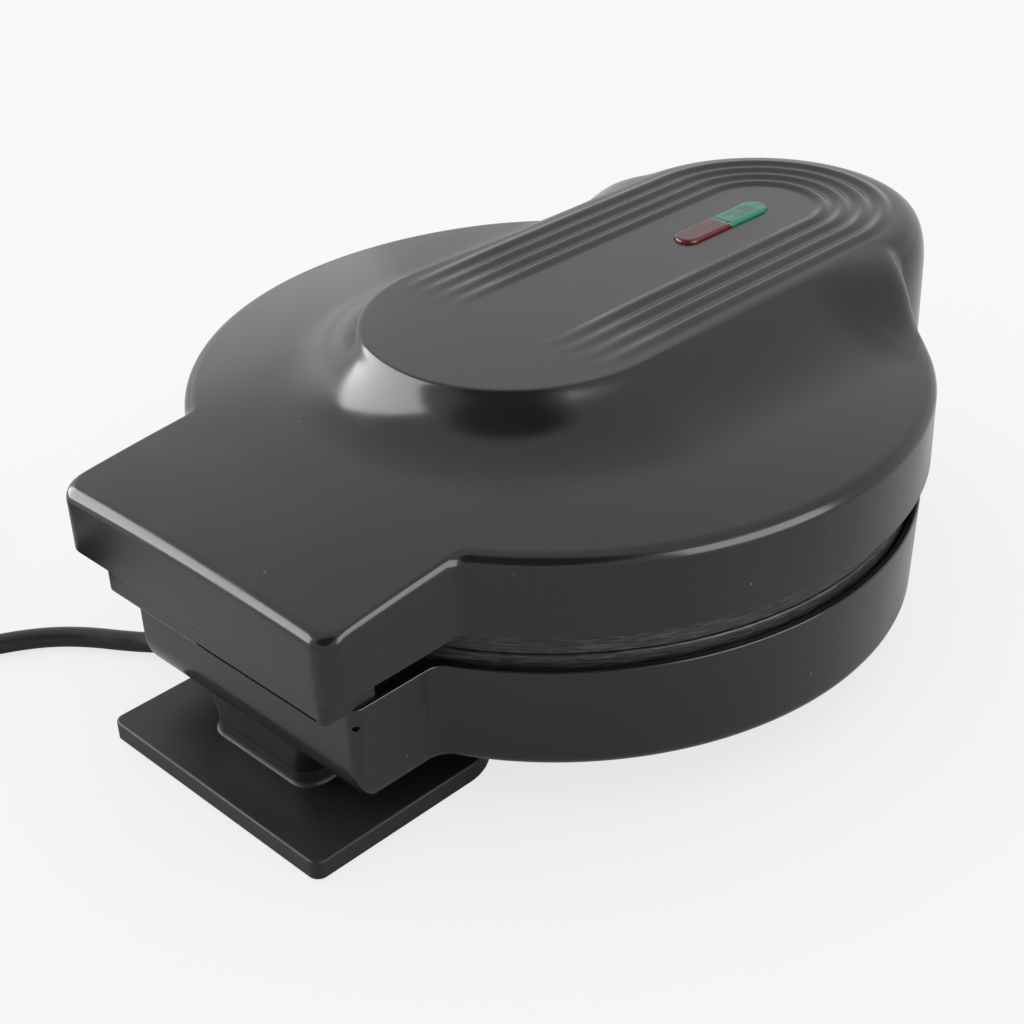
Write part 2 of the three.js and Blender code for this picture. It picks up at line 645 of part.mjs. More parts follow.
function heatShield() {
  const topZ = plateUnder - gap;
  const floorZ = topZ - shield.drop;
  const r = shield.radius;
  const t = shield.thick;
  let body = turned([
    [0, floorZ],
    [r - t, floorZ],
    [r, floorZ + t],
    [r, topZ],
    [r - t, topZ],
    [r - t, floorZ + 2 * t],
    [r - 2 * t, floorZ + t],
    [0, floorZ + t],
  ], 32);
  for (const { x, y } of shieldFixings) {
    const half = shield.earWidth / 2;
    const inner = y > 0 ? r * Math.sin(Math.acos(Math.min(1, (Math.abs(x) + half) / r))) - t * 2 : -r + t * 2;
    const tab = y > 0 ? block(x - half, x + half, inner, y + half, floorZ, floorZ + t)
      : block(x - half, x + half, y - half, inner, floorZ, floorZ + t);
    body = body.add(tab.subtract(post(0, 0, floorZ - overrun, floorZ + t + overrun, r - 2 * t, r - 2 * t, 48)));
    body = body.subtract(post(x, y, floorZ - overrun, floorZ + t + overrun, shield.earHoleRadius, shield.earHoleRadius, 8));
  }
  for (let i = 0; i < plate.studs; i++) {
    const turn = (2 * Math.PI * i) / plate.studs + Math.PI / 2;
    const hole = plate.studRadius + gap;
    body = body.subtract(post(plate.studCircle * Math.cos(turn), plate.studCircle * Math.sin(turn),
      floorZ - overrun, floorZ + t + overrun, hole, hole, 10));
  }
  for (const side of [-1, 1]) {
    const p = elementLeg(side);
    const hole = element.tubeRadius + 2 * gap;
    body = body.subtract(post(p.x, p.y, floorZ - overrun, floorZ + t + overrun, hole, hole, 12));
  }
  return body;
}

const ringZ = plateUnder - gap - element.tubeRadius;

function elementLeg(side) {
  const turn = Math.PI / 2 + side * rad(element.gapDegrees) - side * Math.atan2(element.legBend, element.ringRadius);
  return V2(element.ringRadius * Math.cos(turn), element.ringRadius * Math.sin(turn));
}

// Sheathed heater bent into an open ring, its two cold ends turned down through the shield
function heatingElement() {
  const path = new THREE.CurvePath();
  const open = rad(element.gapDegrees);
  const legEnd = ringZ - element.legBend - element.legLength;
  const ring = [];
  for (let i = 0; i <= element.steps; i++) {
    const turn = Math.PI / 2 + open + ((2 * Math.PI - 2 * open) * i) / element.steps;
    ring.push(V3(element.ringRadius * Math.cos(turn), element.ringRadius * Math.sin(turn), ringZ));
  }
  const first = elementLeg(1);
  const last = elementLeg(-1);
  const bend = (leg, start) => new THREE.QuadraticBezierCurve3(start, V3(leg.x, leg.y, ringZ), V3(leg.x, leg.y, ringZ - element.legBend));
  const startBend = bend(first, ring[0]);
  const endBend = bend(last, ring[ring.length - 1]);
  path.add(new THREE.LineCurve3(V3(first.x, first.y, legEnd), startBend.v2));
  path.add(new THREE.QuadraticBezierCurve3(startBend.v2, startBend.v1, startBend.v0));
  path.add(new THREE.CatmullRomCurve3(ring));
  path.add(endBend);
  path.add(new THREE.LineCurve3(endBend.v2, V3(last.x, last.y, legEnd)));
  return tube(path, element.tubeRadius, element.sides, element.steps + 12);
}

// Strap that holds the heater ring against the back of its plate
function elementClip(side) {
  const r = element.tubeRadius + gap;
  const t = clip.thick;
  const topZ = element.tubeRadius;
  const shape = new THREE.Shape();
  shape.moveTo(r + t + clip.foot, topZ);
  shape.lineTo(r, topZ);
  shape.lineTo(r, 0);
  shape.absarc(0, 0, r, 0, -Math.PI, true);
  shape.lineTo(-r, topZ);
  shape.lineTo(-r - t - clip.foot, topZ);
  shape.lineTo(-r - t - clip.foot, topZ - t);
  shape.lineTo(-r - t, topZ - t);
  shape.lineTo(-r - t, 0);
  shape.absarc(0, 0, r + t, -Math.PI, 0, false);
  shape.lineTo(r + t, topZ - t);
  shape.lineTo(r + t + clip.foot, topZ - t);
  shape.closePath();
  const body = new THREE.ExtrudeGeometry(shape, { depth: clip.width, bevelEnabled: false, curveSegments: 4 });
  body.rotateX(Math.PI / 2);
  return moved(body, side * element.ringRadius, clip.width / 2, ringZ);
}

function hexNut(i) {
  const turn = (2 * Math.PI * i) / plate.studs + Math.PI / 2;
  const x = plate.studCircle * Math.cos(turn);
  const y = plate.studCircle * Math.sin(turn);
  const z = plateUnder - gap - shield.drop - gap;
  const hex = post(x, y, z - nut.thick, z, nut.acrossCorners / 2, nut.acrossCorners / 2, 6);
  const hole = plate.studRadius + gap;
  return hex.subtract(post(x, y, z - nut.thick - overrun, z + overrun, hole, hole, 6));
}

// Pan-head screw standing on its point at z, or hanging from its head when way is -1
function panScrew(x, y, headZ, length, way) {
  const head = way > 0 ? post(x, y, headZ - screw.headThick, headZ, screw.headRadius * 0.8, screw.headRadius, 8)
    : post(x, y, headZ, headZ + screw.headThick, screw.headRadius, screw.headRadius * 0.8, 8);
  const shank = way > 0 ? post(x, y, headZ - gap, headZ + length, screw.shankRadius, screw.shankRadius, 6)
    : post(x, y, headZ - length, headZ + gap, screw.shankRadius, screw.shankRadius, 6);
  return head.add(shank);
}

function thermostatBody() {
  const z = plateUnder - gap;
  const can = post(thermostat.x, 0, z - thermostat.height, z, thermostat.radius, thermostat.radius, 20);
  const t = thermostat.tabThick;
  const tabs = block(thermostat.x - thermostat.tabWidth / 2, thermostat.x + thermostat.tabWidth / 2,
    -thermostat.tabLength, thermostat.tabLength, z - t, z);
  return can.add(tabs);
}

function thermalFuse() {
  const z = plateUnder - gap - fuse.radius;
  const can = rod(-fuse.length / 2, fuse.length / 2, fuse.y, z, fuse.radius, 10);
  const wide = fuse.strapWidth / 2;
  const strap = block(-wide, wide, fuse.y - 3 * fuse.radius, fuse.y + 3 * fuse.radius,
    z + fuse.radius - fuse.strapThick, z + fuse.radius);
  return can.add(strap);
}

// Base shell

const baseOutline = (inset, rear) =>
  outline({
    radius: base.bottomRadius - inset,
    blockHalf: base.blockHalf - inset,
    rear,
    corner: Math.max(trough.corner - inset, gap),
    fillet: lid.blockFillet + inset,
    noseCentre: base.noseCentre,
    noseRadius: base.noseRadius - inset,
    noseFillet: base.noseFillet + inset,
  });

const draftTotal = base.rimRadius - base.bottomRadius;

function baseRing(z, inset, rearInset = inset) {
  const share = (z - base.bottomZ) / (base.rimZ - base.bottomZ);
  return ringOf(baseOutline(inset - share * draftTotal, base.rear - rearInset), z);
}

function baseTub() {
  const f = base.bottomFillet;
  const steps = [
    { rise: 0, inset: f },
    { rise: f * 0.3, inset: f * 0.3 },
    { rise: f, inset: 0 },
    { rise: base.rearRound * 0.6, inset: 0 },
    { rise: base.rearRound, inset: 0 },
  ];
  const tuck = (rise) => base.rearTuck * (1 - Math.sqrt(Math.max(0, 1 - (1 - Math.min(1, rise / base.rearRound)) ** 2)));
  const outer = steps.map(({ rise, inset }) => baseRing(base.bottomZ + rise, inset, tuck(rise)));
  const w = base.wall;
  const e = base.rimRound;
  const rim = [
    baseRing(base.rimZ - e, 0),
    baseRing(base.rimZ, e),
    baseRing(base.rimZ, w),
  ];
  const inner = [
    baseRing(base.bottomZ + base.rearRound, w),
    baseRing(base.bottomZ + w + f / 2, w, w + tuck(w + f / 2)),
    baseRing(base.bottomZ + w, w + f / 2, w + tuck(w)),
  ];
  return solid(loft([...outer, ...rim, ...inner]));
}

// Plan with rounded corners, anticlockwise, the front ones of their own radius
function roundedPlan(half, front, rear, corner, frontCorner = corner, steps = 4) {
  const right = [
    ...arc(half - frontCorner, front + frontCorner, frontCorner, -Math.PI / 2, 0, steps),
    ...arc(half - corner, rear - corner, corner, 0, Math.PI / 2, steps),
  ];
  return [...right, ...right.map((p) => V2(-p.x, p.y)).reverse()];
}

function hingeTrough() {
  const ring = (inset, z) => roundedPlan(base.blockHalf - inset, trough.front, trough.rear - inset,
    trough.corner - inset, trough.wall / 4).map((p) => V3(p.x, p.y, z));
  let body = solid(loft([
    ring(trough.lip, trough.bottomZ),
    ring(trough.lip * 0.3, trough.bottomZ + trough.lip * 0.3),
    ring(0, trough.bottomZ + trough.lip),
    ring(0, trough.cheekTopZ),
  ]));
  const w = trough.wall;
  const high = trough.cheekTopZ + overrun;
  const inside = roundedPlan(cheekInner, trough.front + w, trough.rear - w, trough.corner - w, w / 4);
  body = body.subtract(prism(inside, trough.bottomZ + w, high));
  const wide = cheekInner - gap;
  body = body.subtract(block(-wide, wide, hinge.y, trough.rear + overrun, trough.rearTopZ, high));
  body = body.subtract(block(-wide, wide, trough.front - overrun, hinge.y, trough.frontTopZ, high));
  // bearing webs either side of each ear
  for (const side of [-1, 1]) {
    const x0 = Math.min(side * webInnerX, side * webOuterX);
    const x1 = Math.max(side * webInnerX, side * webOuterX);
    body = body.add(block(x0, x1, trough.front + w - gap, trough.rear - w + gap, trough.bottomZ + w, trough.rearTopZ));
    const pinEnd = side * (cheekInner + w * 0.6);
    const from = side * (webInnerX - overrun);
    body = body.subtract(rod(Math.min(pinEnd, from), Math.max(pinEnd, from), hinge.y, hinge.z, hinge.pinRadius + gap, 12));
  }
  return body;
}

const neckPlan = (grow) => roundedPlan(stand.neckHalf + grow, stand.neckFront - grow, stand.neckRear, stand.neckCorner);
const legTopZ = base.bottomZ + base.wall / 2;
const reliefZ = stand.neckSplitZ;
const neckWall = stand.wall;

// Room for the lead's relief: a hole through the wall and a pocket behind it for the flange
function reliefSpace() {
  const wallIn = stand.neckHalf - neckWall;
  const hole = rod(wallIn - overrun, stand.neckHalf + stand.neckBlend * 2, relief.y, reliefZ,
    relief.rootRadius - relief.grip + gap, 16);
  const pocket = rod(boss.radius, wallIn, relief.y, reliefZ, relief.rootRadius + gap, 16);
  return hole.add(pocket);
}

function baseShell() {
  let body = baseTub();
  // the tub is open to the trough's front, under the rear cover
  body = body.add(hingeTrough());
  const neckTop = base.bottomZ + base.wall + base.rearTuck / 2;
  const neck = solid(loft([
    neckPlan(0).map((p) => V3(p.x, p.y, stand.neckSplitZ + gap)),
    neckPlan(stand.neckFlare).map((p) => V3(p.x, p.y, base.bottomZ + base.wall / 2)),
    neckPlan(stand.neckFlare).map((p) => V3(p.x, p.y, neckTop)),
  ])).subtract(block(-base.blockHalf, base.blockHalf, 0, stand.neckRear - stand.neckCorner,
    base.bottomZ + base.wall, neckTop + overrun));
  const hollow = roundedPlan(stand.neckHalf - neckWall, stand.neckFront + neckWall, stand.neckRear - neckWall, stand.neckCorner - neckWall);
  body = body.add(neck).subtract(prism(hollow, 0, base.bottomZ + base.wall + overrun * 4));
  for (const x of [-stand.screwX, stand.screwX]) {
    for (const y of [stand.screwFrontY, stand.screwRearY]) {
      const seat = stand.neckSplitZ + gap;
      const column = post(x, y, seat, base.bottomZ + base.wall * 2, boss.radius, boss.radius, 12);
      const rib = block(Math.min(x, Math.sign(x) * (stand.neckHalf - gap)), Math.max(x, Math.sign(x) * (stand.neckHalf - gap)),
        y - base.wall / 2, y + base.wall / 2, seat, base.bottomZ + base.wall);
      body = body.add(column).add(rib);
      body = body.subtract(post(x, y, seat - overrun, seat + boss.screwDepth, boss.hole, boss.hole, 8));
    }
  }
  // half of the hole that grips the lead's relief
  body = body.subtract(reliefSpace());
  // moulded front legs
  for (const side of [-1, 1]) {
    const foot = leg.padHeight - leg.ledge;
    let column = post(side * leg.x, leg.y, foot, legTopZ, leg.bottomRadius, leg.topRadius, 14);
    column = column.subtract(post(side * leg.x, leg.y, foot - overrun, leg.padHeight, leg.bottomRadius - leg.padInset,
      leg.bottomRadius - leg.padInset, 14));
    body = body.add(column);
  }
  // pillars under the shield's ears
  const pillarTop = plateUnder - gap - shield.drop - gap;
  for (const { x, y } of shieldFixings) {
    body = body.add(post(x, y, base.bottomZ + base.wall / 2, pillarTop, boss.radius));
    body = body.subtract(post(x, y, pillarTop - boss.screwDepth - overrun, pillarTop + overrun, boss.hole, boss.hole, 8));
  }
  return body;
}

// Covers that close the base's nose and block round the lower plate

function baseDeck(part) {
  const topZ = base.rimZ - base.rimRound * 2;
  const z0 = topZ - liner.thick;
  const sheet = solid(loft([
    baseRing(z0, base.wall + liner.clearance),
    baseRing(topZ, base.wall + liner.clearance),
  ]));
  const hole = post(0, 0, z0 - overrun, topZ + overrun, plateHole, plateHole, 72);
  const wide = lid.radius * 2;
  let body = sheet.subtract(hole);
  if (part === "rear") {
    body = body.subtract(block(-wide, wide, -wide, lid.blockHalf, z0 - overrun, topZ + overrun));
    body = body.subtract(block(-wide, wide, trough.front - gap, wide, z0 - overrun, topZ + overrun));
  } else {
    body = body.subtract(block(-wide, wide, -base.noseCentre + base.noseRadius / 2, wide, z0 - overrun, topZ + overrun));
  }
  const pegFoot = plateUnder - gap - shield.drop + shield.thick + screw.headThick + 2 * gap;
  const spots = part === "rear" ? shieldFixings.slice(0, 2) : shieldFixings.slice(2);
  for (const { x, y } of spots) {
    body = body.add(post(x, y, pegFoot, z0 + gap, screw.headRadius, screw.headRadius, 12));
  }
  return body;
}

// Foot stand

function footStand() {
  const centre = V2(0, (stand.neckFront + stand.neckRear) / 2);
  const footPlan = (inset) => {
    const front = arc(stand.half - stand.frontCorner, stand.front + stand.frontCorner, stand.frontCorner - inset, -Math.PI / 2, 0, 5);
    const rear = arc(stand.half - stand.rearCorner, stand.rear - stand.rearCorner, stand.rearCorner - inset, 0, Math.PI / 2, 3);
    const right = [...front, ...rear];
    return [...right, ...right.map((p) => V2(-p.x, p.y)).reverse()];
  };
  // rays through the corners of both plans, so that each keeps its own
  const ways = [...footPlan(0), ...neckPlan(0)].map((p) => p.clone().sub(centre).normalize());
  ways.sort((a, b) => a.angle() - b.angle());
  const footRays = ways.map((way) => ({ foot: centre, way }));
  const ring = (plan, z) => footRays.map((ray) => onRay(ray, reach(ray, plan), z));
  const t = stand.topZ;
  const w = stand.wall;
  const e = stand.edgeRound;
  const neck = (grow) => neckPlan(grow);
  const inside = (grow) => neckPlan(grow - w).map((p) => V2(p.x, Math.min(p.y, stand.neckRear - w)));
  let body = solid(loft([
    ring(inside(0), stand.neckSplitZ - w),
    ring(inside(0), t - w),
    ring(footPlan(w), t - w),
    ring(footPlan(w), stand.underZ),
    ring(footPlan(0), stand.underZ),
    ring(footPlan(0), t - e),
    ring(footPlan(e), t),
    ring(neck(stand.neckBlend), t),
    ring(neck(stand.neckBlend * 0.2), t + stand.neckBlend * 0.3),
    ring(neck(0), t + stand.neckBlend),
    ring(neck(0), stand.neckSplitZ),
  ]));
  // lead passage, screw holes and the lower half of the relief's hole
  const lead = boss.radius * 2;
  body = body.subtract(post(0, relief.y, t - w, stand.neckSplitZ + overrun, lead, lead, 12));
  for (const x of [-stand.screwX, stand.screwX]) {
    for (const y of [stand.screwFrontY, stand.screwRearY]) {
      body = body.subtract(post(x, y, t - overrun, stand.neckSplitZ + overrun, boss.hole + gap, boss.hole + gap, 8));
    }
  }
  body = body.subtract(reliefSpace());
  // seats for the corner pads
  for (const spot of padSpots) {
    body = body.add(post(spot.x, spot.y, pad.height - pad.peg / 2, t - w / 2, pad.radius));
    body = body.subtract(post(spot.x, spot.y, 0, pad.height + pad.peg, pad.pegRadius + gap, pad.pegRadius + gap, 8));
  }
  return body;
}

const padSpots = [-1, 1].flatMap((side) => [
  V2(side * (stand.half - pad.insetFront), stand.front + pad.insetFront),
  V2(side * (stand.half - pad.insetSide), stand.rear - pad.insetRear),
]);

function cornerPad(spot) {
  const seat = pad.height - pad.peg / 2 - gap;
  return post(spot.x, spot.y, 0, seat, pad.radius - pad.peg / 2, pad.radius)
    .add(post(spot.x, spot.y, seat - gap, pad.height + pad.peg - gap, pad.pegRadius, pad.pegRadius, 8));
}

function legPad(side) {
  const r = leg.bottomRadius - leg.padInset - gap;
  return post(side * leg.x, leg.y, 0, leg.padHeight - gap, r - leg.padInset, r, 14);
}

// Mains lead

function strainRelief() {
  const root = stand.neckHalf;
  const wall = neckWall;
  const neckR = relief.rootRadius - relief.grip;
  const bore = V2(0, 0);
  const profile = [
    [bore.x, root - wall - gap - relief.flangeThick],
    [relief.rootRadius, root - wall - gap - relief.flangeThick],
    [relief.rootRadius, root - wall - gap],
    [neckR, root - wall - gap],
    [neckR, root + stand.neckFlare],
    [relief.rootRadius, root + stand.neckFlare],
    [relief.rootRadius, root + stand.neckFlare + relief.flangeThick],
    [relief.tipRadius, root + relief.length],
    [bore.x, root + relief.length],
  ];
  const shape = new THREE.LatheGeometry(profile.map(([r, z]) => V2(r, z)), 12);
  shape.rotateZ(-Math.PI / 2);
  return moved(shape, 0, relief.y, reliefZ);
}

const reliefTipX = stand.neckHalf + relief.length;
const tableZ = cord.radius + cord.lift;
const coilZ = tableZ + tie.thick;

// Route of the free stretch, chosen by hand: out of the relief, over the stand's edge, down to the
// table and away in a slow bend to the coil
const route = [
  [reliefTipX + gap, relief.y, reliefZ],
  [reliefTipX + relief.lead, relief.y, reliefZ],
  [70, 141.8, 14.6],
  [80, 142.8, 11.2],
  [90, 145.9, 7.4],
  [99, 149.9, 5.3],
  [107, 154.7, tableZ],
  [115, 160.2, tableZ],
  [123, 165.3, tableZ],
  [131, 171.3, tableZ],
  [138.5, 178.4, tableZ],
  [145.3, 187, tableZ],
  [151.5, 197.2, tableZ],
  [157, 207.7, tableZ],
  [162.2, 218, coilZ],
];

function coilPoints() {
  const points = [];
  const total = cord.lowerTurns + 0.5 + cord.upperTurns;
  const steps = Math.round(total * cord.coilSteps);
  for (let i = 0; i <= steps; i++) {
    const turns = (i / steps) * total;
    const turning = THREE.MathUtils.clamp(turns - cord.lowerTurns, 0, 0.5) / 0.5;
    const inward = Math.min(turns, cord.lowerTurns + 0.25);
    const outward = Math.max(0, turns - cord.lowerTurns - 0.25);
    const radius = coil.outerRadius - cord.pitch * (inward - outward);
    const z = coilZ + cord.layerRise * smoothstep(turning, 0, 1);
    const turn = rad(coil.startDegrees) - 2 * Math.PI * turns;
    points.push(V3(coil.x + radius * Math.cos(turn), coil.y + radius * Math.sin(turn), z));
  }
  return points;
}

function straightEnds(points) {
  const first = points[0];
  const last = points[points.length - 1];
  const into = first.clone().sub(points[1]).setZ(0).normalize().multiplyScalar(2 * cord.radius);
  const out = last.clone().sub(points[points.length - 2]).setZ(0).normalize().multiplyScalar(2 * cord.radius);
  return [first.clone().add(into), ...points, last.clone().add(out)];
}

// Least distance between stretches of the coil that aren't neighbours along it, less its thickness
function leastGap(curve) {
  const points = curve.getSpacedPoints(600);
  const skip = Math.ceil((600 * 4 * cord.radius) / curve.getLength());
  let least = Infinity;
  points.forEach((a, i) => {
    for (let j = i + skip; j < points.length; j++) least = Math.min(least, a.distanceTo(points[j]));
  });
  return least - 2 * cord.radius;
}

// Strap round both layers of the coil
function cordTie() {
  const turns = (coil.startDegrees - coil.tieDegrees + 360) / 360;
  const r = coil.outerRadius - cord.pitch * turns;
  const reachZ = cord.radius + gap;
  const lowZ = coilZ - reachZ;
  const highZ = coilZ + cord.layerRise + reachZ;
  const frame = (grow) => {
    const shape = new THREE.Shape();
    const corner = cord.radius;
    const half = reachZ + gap + grow;
    shape.moveTo(-half, lowZ + corner);
    shape.absarc(corner - half, lowZ - grow + corner, corner, Math.PI, Math.PI * 1.5, false);
    shape.absarc(half - corner, lowZ - grow + corner, corner, -Math.PI / 2, 0, false);
    shape.absarc(half - corner, highZ + grow - corner, corner, 0, Math.PI / 2, false);
    shape.absarc(corner - half, highZ + grow - corner, corner, Math.PI / 2, Math.PI, false);
    return shape;
  };
  const band = frame(tie.thick - gap);
  band.holes.push(frame(0));
  const body = new THREE.ExtrudeGeometry(band, { depth: tie.width, bevelEnabled: false, curveSegments: 2 });
  body.translate(0, 0, -tie.width / 2);
  body.rotateX(Math.PI / 2);
  body.translate(r, 0, 0);
  body.rotateZ(rad(coil.tieDegrees));
  return moved(body, coil.x, coil.y, 0);
}

// Moulded plug with two flat blades and a round earth pin, along +X before it is laid down. Its sole
// reaches the table from the height of the coil's upper layer.
function plugBody() {
  const half = plug.width / 2;
  const sole = coilZ + cord.layerRise - cord.lift;
  const ring = (x, grow) => roundedPlan(half + grow, -sole - grow, plug.height / 2 + grow, plug.corner + grow, plug.corner + grow, 3)
    .map((p) => V3(p.x, p.y, x));
  const neck = (x, r) => roundedPlan(r, -r, r, r * 0.9, r * 0.9, 3).map((p) => V3(p.x, p.y, x));
  const shape = loft([
    neck(0, cord.radius + plug.wall),
    neck(plug.neckLength, plug.neckRadius),
    ring(plug.neckLength + plug.corner, -plug.corner / 2),
    ring(plug.neckLength + plug.corner * 2, 0),
    ring(plug.neckLength + plug.length, 0),
    ring(plug.neckLength + plug.length, -plug.face),
  ]);
  shape.rotateX(Math.PI / 2);
  shape.rotateZ(Math.PI / 2);
  let body = solid(shape);
  const face = plug.neckLength + plug.length;
  for (const y of [-blade.spacing / 2, blade.spacing / 2]) {
    body = body.subtract(block(face - blade.sink - gap, face + overrun, y - blade.thick / 2 - gap, y + blade.thick / 2 + gap,
      blade.earthDrop - blade.width - gap, blade.earthDrop + gap));
  }
  const pin = blade.earthRadius + gap;
  return body.subtract(rod(face - blade.sink - gap, face + overrun, 0, -blade.earthDrop, pin, 10));
}

// The plug lies on the table in line with the coil's last end
function layPlug(end, before) {
  const way = end.clone().sub(before).normalize();
  const lying = new THREE.Group();
  lying.position.copy(end).addScaledVector(way, gap);
  lying.rotation.z = Math.atan2(way.y, way.x);
  object.add(lying);
  put("plug_body", plugBody(), rubber, lying);
  const face = plug.neckLength + plug.length;
  const flat = (y) => block(face - blade.sink, face + blade.length, y - blade.thick / 2, y + blade.thick / 2,
    blade.earthDrop - blade.width, blade.earthDrop);
  put("plug_blade_left", flat(-blade.spacing / 2), brass, lying);
  put("plug_blade_right", flat(blade.spacing / 2), brass, lying);
  put("plug_earth_pin", rod(face - blade.sink, face + blade.earthLength, 0, -blade.earthDrop, blade.earthRadius, 10), brass, lying);
}

// Build list

const object = new THREE.Group();
object.position.y = (lid.handleCentre + lid.handleRadius - stand.rear) / 2;

function put(name, body, material, parent = object) {
  parent.add(mesh(name, body, material));
}

put("base_shell", baseShell(), glossBlack);
put("base_front_cover", baseDeck("front"), satinBlack);
put("base_rear_cover", baseDeck("rear"), satinBlack);
put("foot_stand", footStand(), satinBlack);
padSpots.forEach((spot, i) => put(`stand_pad_${i + 1}`, cornerPad(spot), rubber));
put("front_pad_left", legPad(-1), rubber);
put("front_pad_right", legPad(1), rubber);

// Both plates carry the same stack; the upper one is the lower one turned over about the seam
function heatStack(prefix, group) {
  put(`${prefix}_cooking_plate`, cookingPlate(), castPlate, group);
  put(`${prefix}_heat_shield`, heatShield(), sheetSteel, group);
  put(`${prefix}_heating_element`, heatingElement(), darkSheath, group);
  put(`${prefix}_element_clip_left`, elementClip(-1), sheetSteel, group);
  put(`${prefix}_element_clip_right`, elementClip(1), sheetSteel, group);
  for (let i = 0; i < plate.studs; i++) put(`${prefix}_plate_nut_${i + 1}`, hexNut(i), sheetSteel, group);
  const earTop = plateUnder - gap - shield.drop + shield.thick + gap;
  shieldFixings.forEach(({ x, y }, i) => {
    put(`${prefix}_shield_screw_${i + 1}`, panScrew(x, y, earTop, boss.screwDepth, -1), sheetSteel, group);
  });
}

const lowerStack = new THREE.Group();
object.add(lowerStack);
heatStack("lower", lowerStack);
put("thermal_fuse", thermalFuse(), sheetSteel, lowerStack);

const upperStack = new THREE.Group();
upperStack.scale.z = -1;
upperStack.position.z = 2 * seamZ;
object.add(upperStack);
heatStack("upper", upperStack);
put("thermostat", thermostatBody(), ceramic, upperStack);

put("upper_cover", upperCover(), glossBlack);
put("handle_liner", lidLiner("front"), satinBlack);
put("lid_rear_liner", lidLiner("rear"), satinBlack);
put("red_lens", lensHalf(1), redGlass);
put("green_lens", lensHalf(-1), greenGlass);
put("lamp_holder", lampHolder(), satinBlack);
put("red_lamp", signalLamp(1), lampGlass);
put("green_lamp", signalLamp(-1), lampGlass);

for (const [name, side] of [["hinge_pin_left", -1], ["hinge_pin_right", 1]]) {
  const inner = side * (webInnerX - overrun / 2);
  const outer = side * (cheekInner + trough.wall * 0.6 - gap);
  put(name, rod(Math.min(inner, outer), Math.max(inner, outer), hinge.y, hinge.z, hinge.pinRadius, 12), sheetSteel);
}

let screwNumber = 0;
for (const x of [-stand.screwX, stand.screwX]) {
  for (const y of [stand.screwFrontY, stand.screwRearY]) {
    screwNumber += 1;
    const headZ = stand.neckSplitZ - stand.wall - gap;
    put(`stand_screw_${screwNumber}`, panScrew(x, y, headZ, boss.screwDepth, 1), sheetSteel);
  }
}

function terminalBlock() {
  const floorZ = base.bottomZ + base.wall + gap;
  const half = terminal.length / 2;
  let body = block(terminal.x - half, terminal.x + half, terminal.y - terminal.width / 2,
    terminal.y + terminal.width / 2, floorZ, floorZ + terminal.height);
  for (let i = 0; i < terminal.cells; i++) {
    const x = terminal.x + (i - (terminal.cells - 1) / 2) * (terminal.length / terminal.cells);
    const z = floorZ + terminal.height;
    body = body.subtract(post(x, terminal.y, z - terminal.height / 2, z + overrun, screw.headRadius, screw.headRadius, 10));
  }
  return body;
}

put("terminal_block", terminalBlock(), ceramic);

const terminalZ = base.bottomZ + base.wall + terminal.height / 2;
const supplyPath = new THREE.CatmullRomCurve3([
  V3(stand.neckHalf - neckWall - relief.flangeThick - 2 * gap, relief.y, reliefZ),
  V3(stand.neckHalf / 2, relief.y, reliefZ),
  V3(0, relief.y, stand.neckSplitZ + cord.radius),
  V3(-stand.neckHalf * 0.6, relief.y, terminalZ - cord.radius / 3),
  V3(-stand.neckHalf * 1.2, relief.y - cord.radius / 3, terminalZ),
  V3(terminal.x, relief.y - 2 * cord.radius, terminalZ),
  V3(terminal.x, terminal.y + terminal.width / 2 + 2 * gap, terminalZ),
]);
supplyPath.curveType = "centripetal";
put("supply_lead", tube(supplyPath, cord.radius - gap, 6, 12), rubber);

put("strain_relief", strainRelief(), rubber);

const wound = coilPoints();
const coilPath = straightEnds(wound);
const heading = coilPath[1].clone().sub(coilPath[0]).normalize();
const joinAt = coilPath[0].clone().addScaledVector(heading, -2 * gap);
const leadIn = joinAt.clone().addScaledVector(heading, -2 * cord.radius);
const freePoints = [...route.map(([x, y, z]) => V3(x, y, z)), leadIn, joinAt];
put("supply_cord", tube(new THREE.CatmullRomCurve3(freePoints), cord.radius, cord.sides, 28), rubber);
const coilCurve = new THREE.CatmullRomCurve3(coilPath);
put("cord_coil", tube(coilCurve, cord.radius, cord.coilSides, coilPath.length - 1), rubber);
put("cord_tie", cordTie(), satinBlack);
layPlug(coilPath[coilPath.length - 1], coilPath[coilPath.length - 2]);
console.log("coil's least gap to itself: " + leastGap(coilCurve).toFixed(2) + " mm");

export default object;
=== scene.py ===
# %% [markdown]
# # Electric pizza maker, dressed
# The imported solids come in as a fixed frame, in metres. Each step below replaces one group of them
# with a finer piece in the same place, gives every surface a node material, and prints what it made.

# %%
import json
import math
from types import SimpleNamespace as Sizes

import bmesh
import bpy
import numpy as np
from mathutils import Matrix, Vector

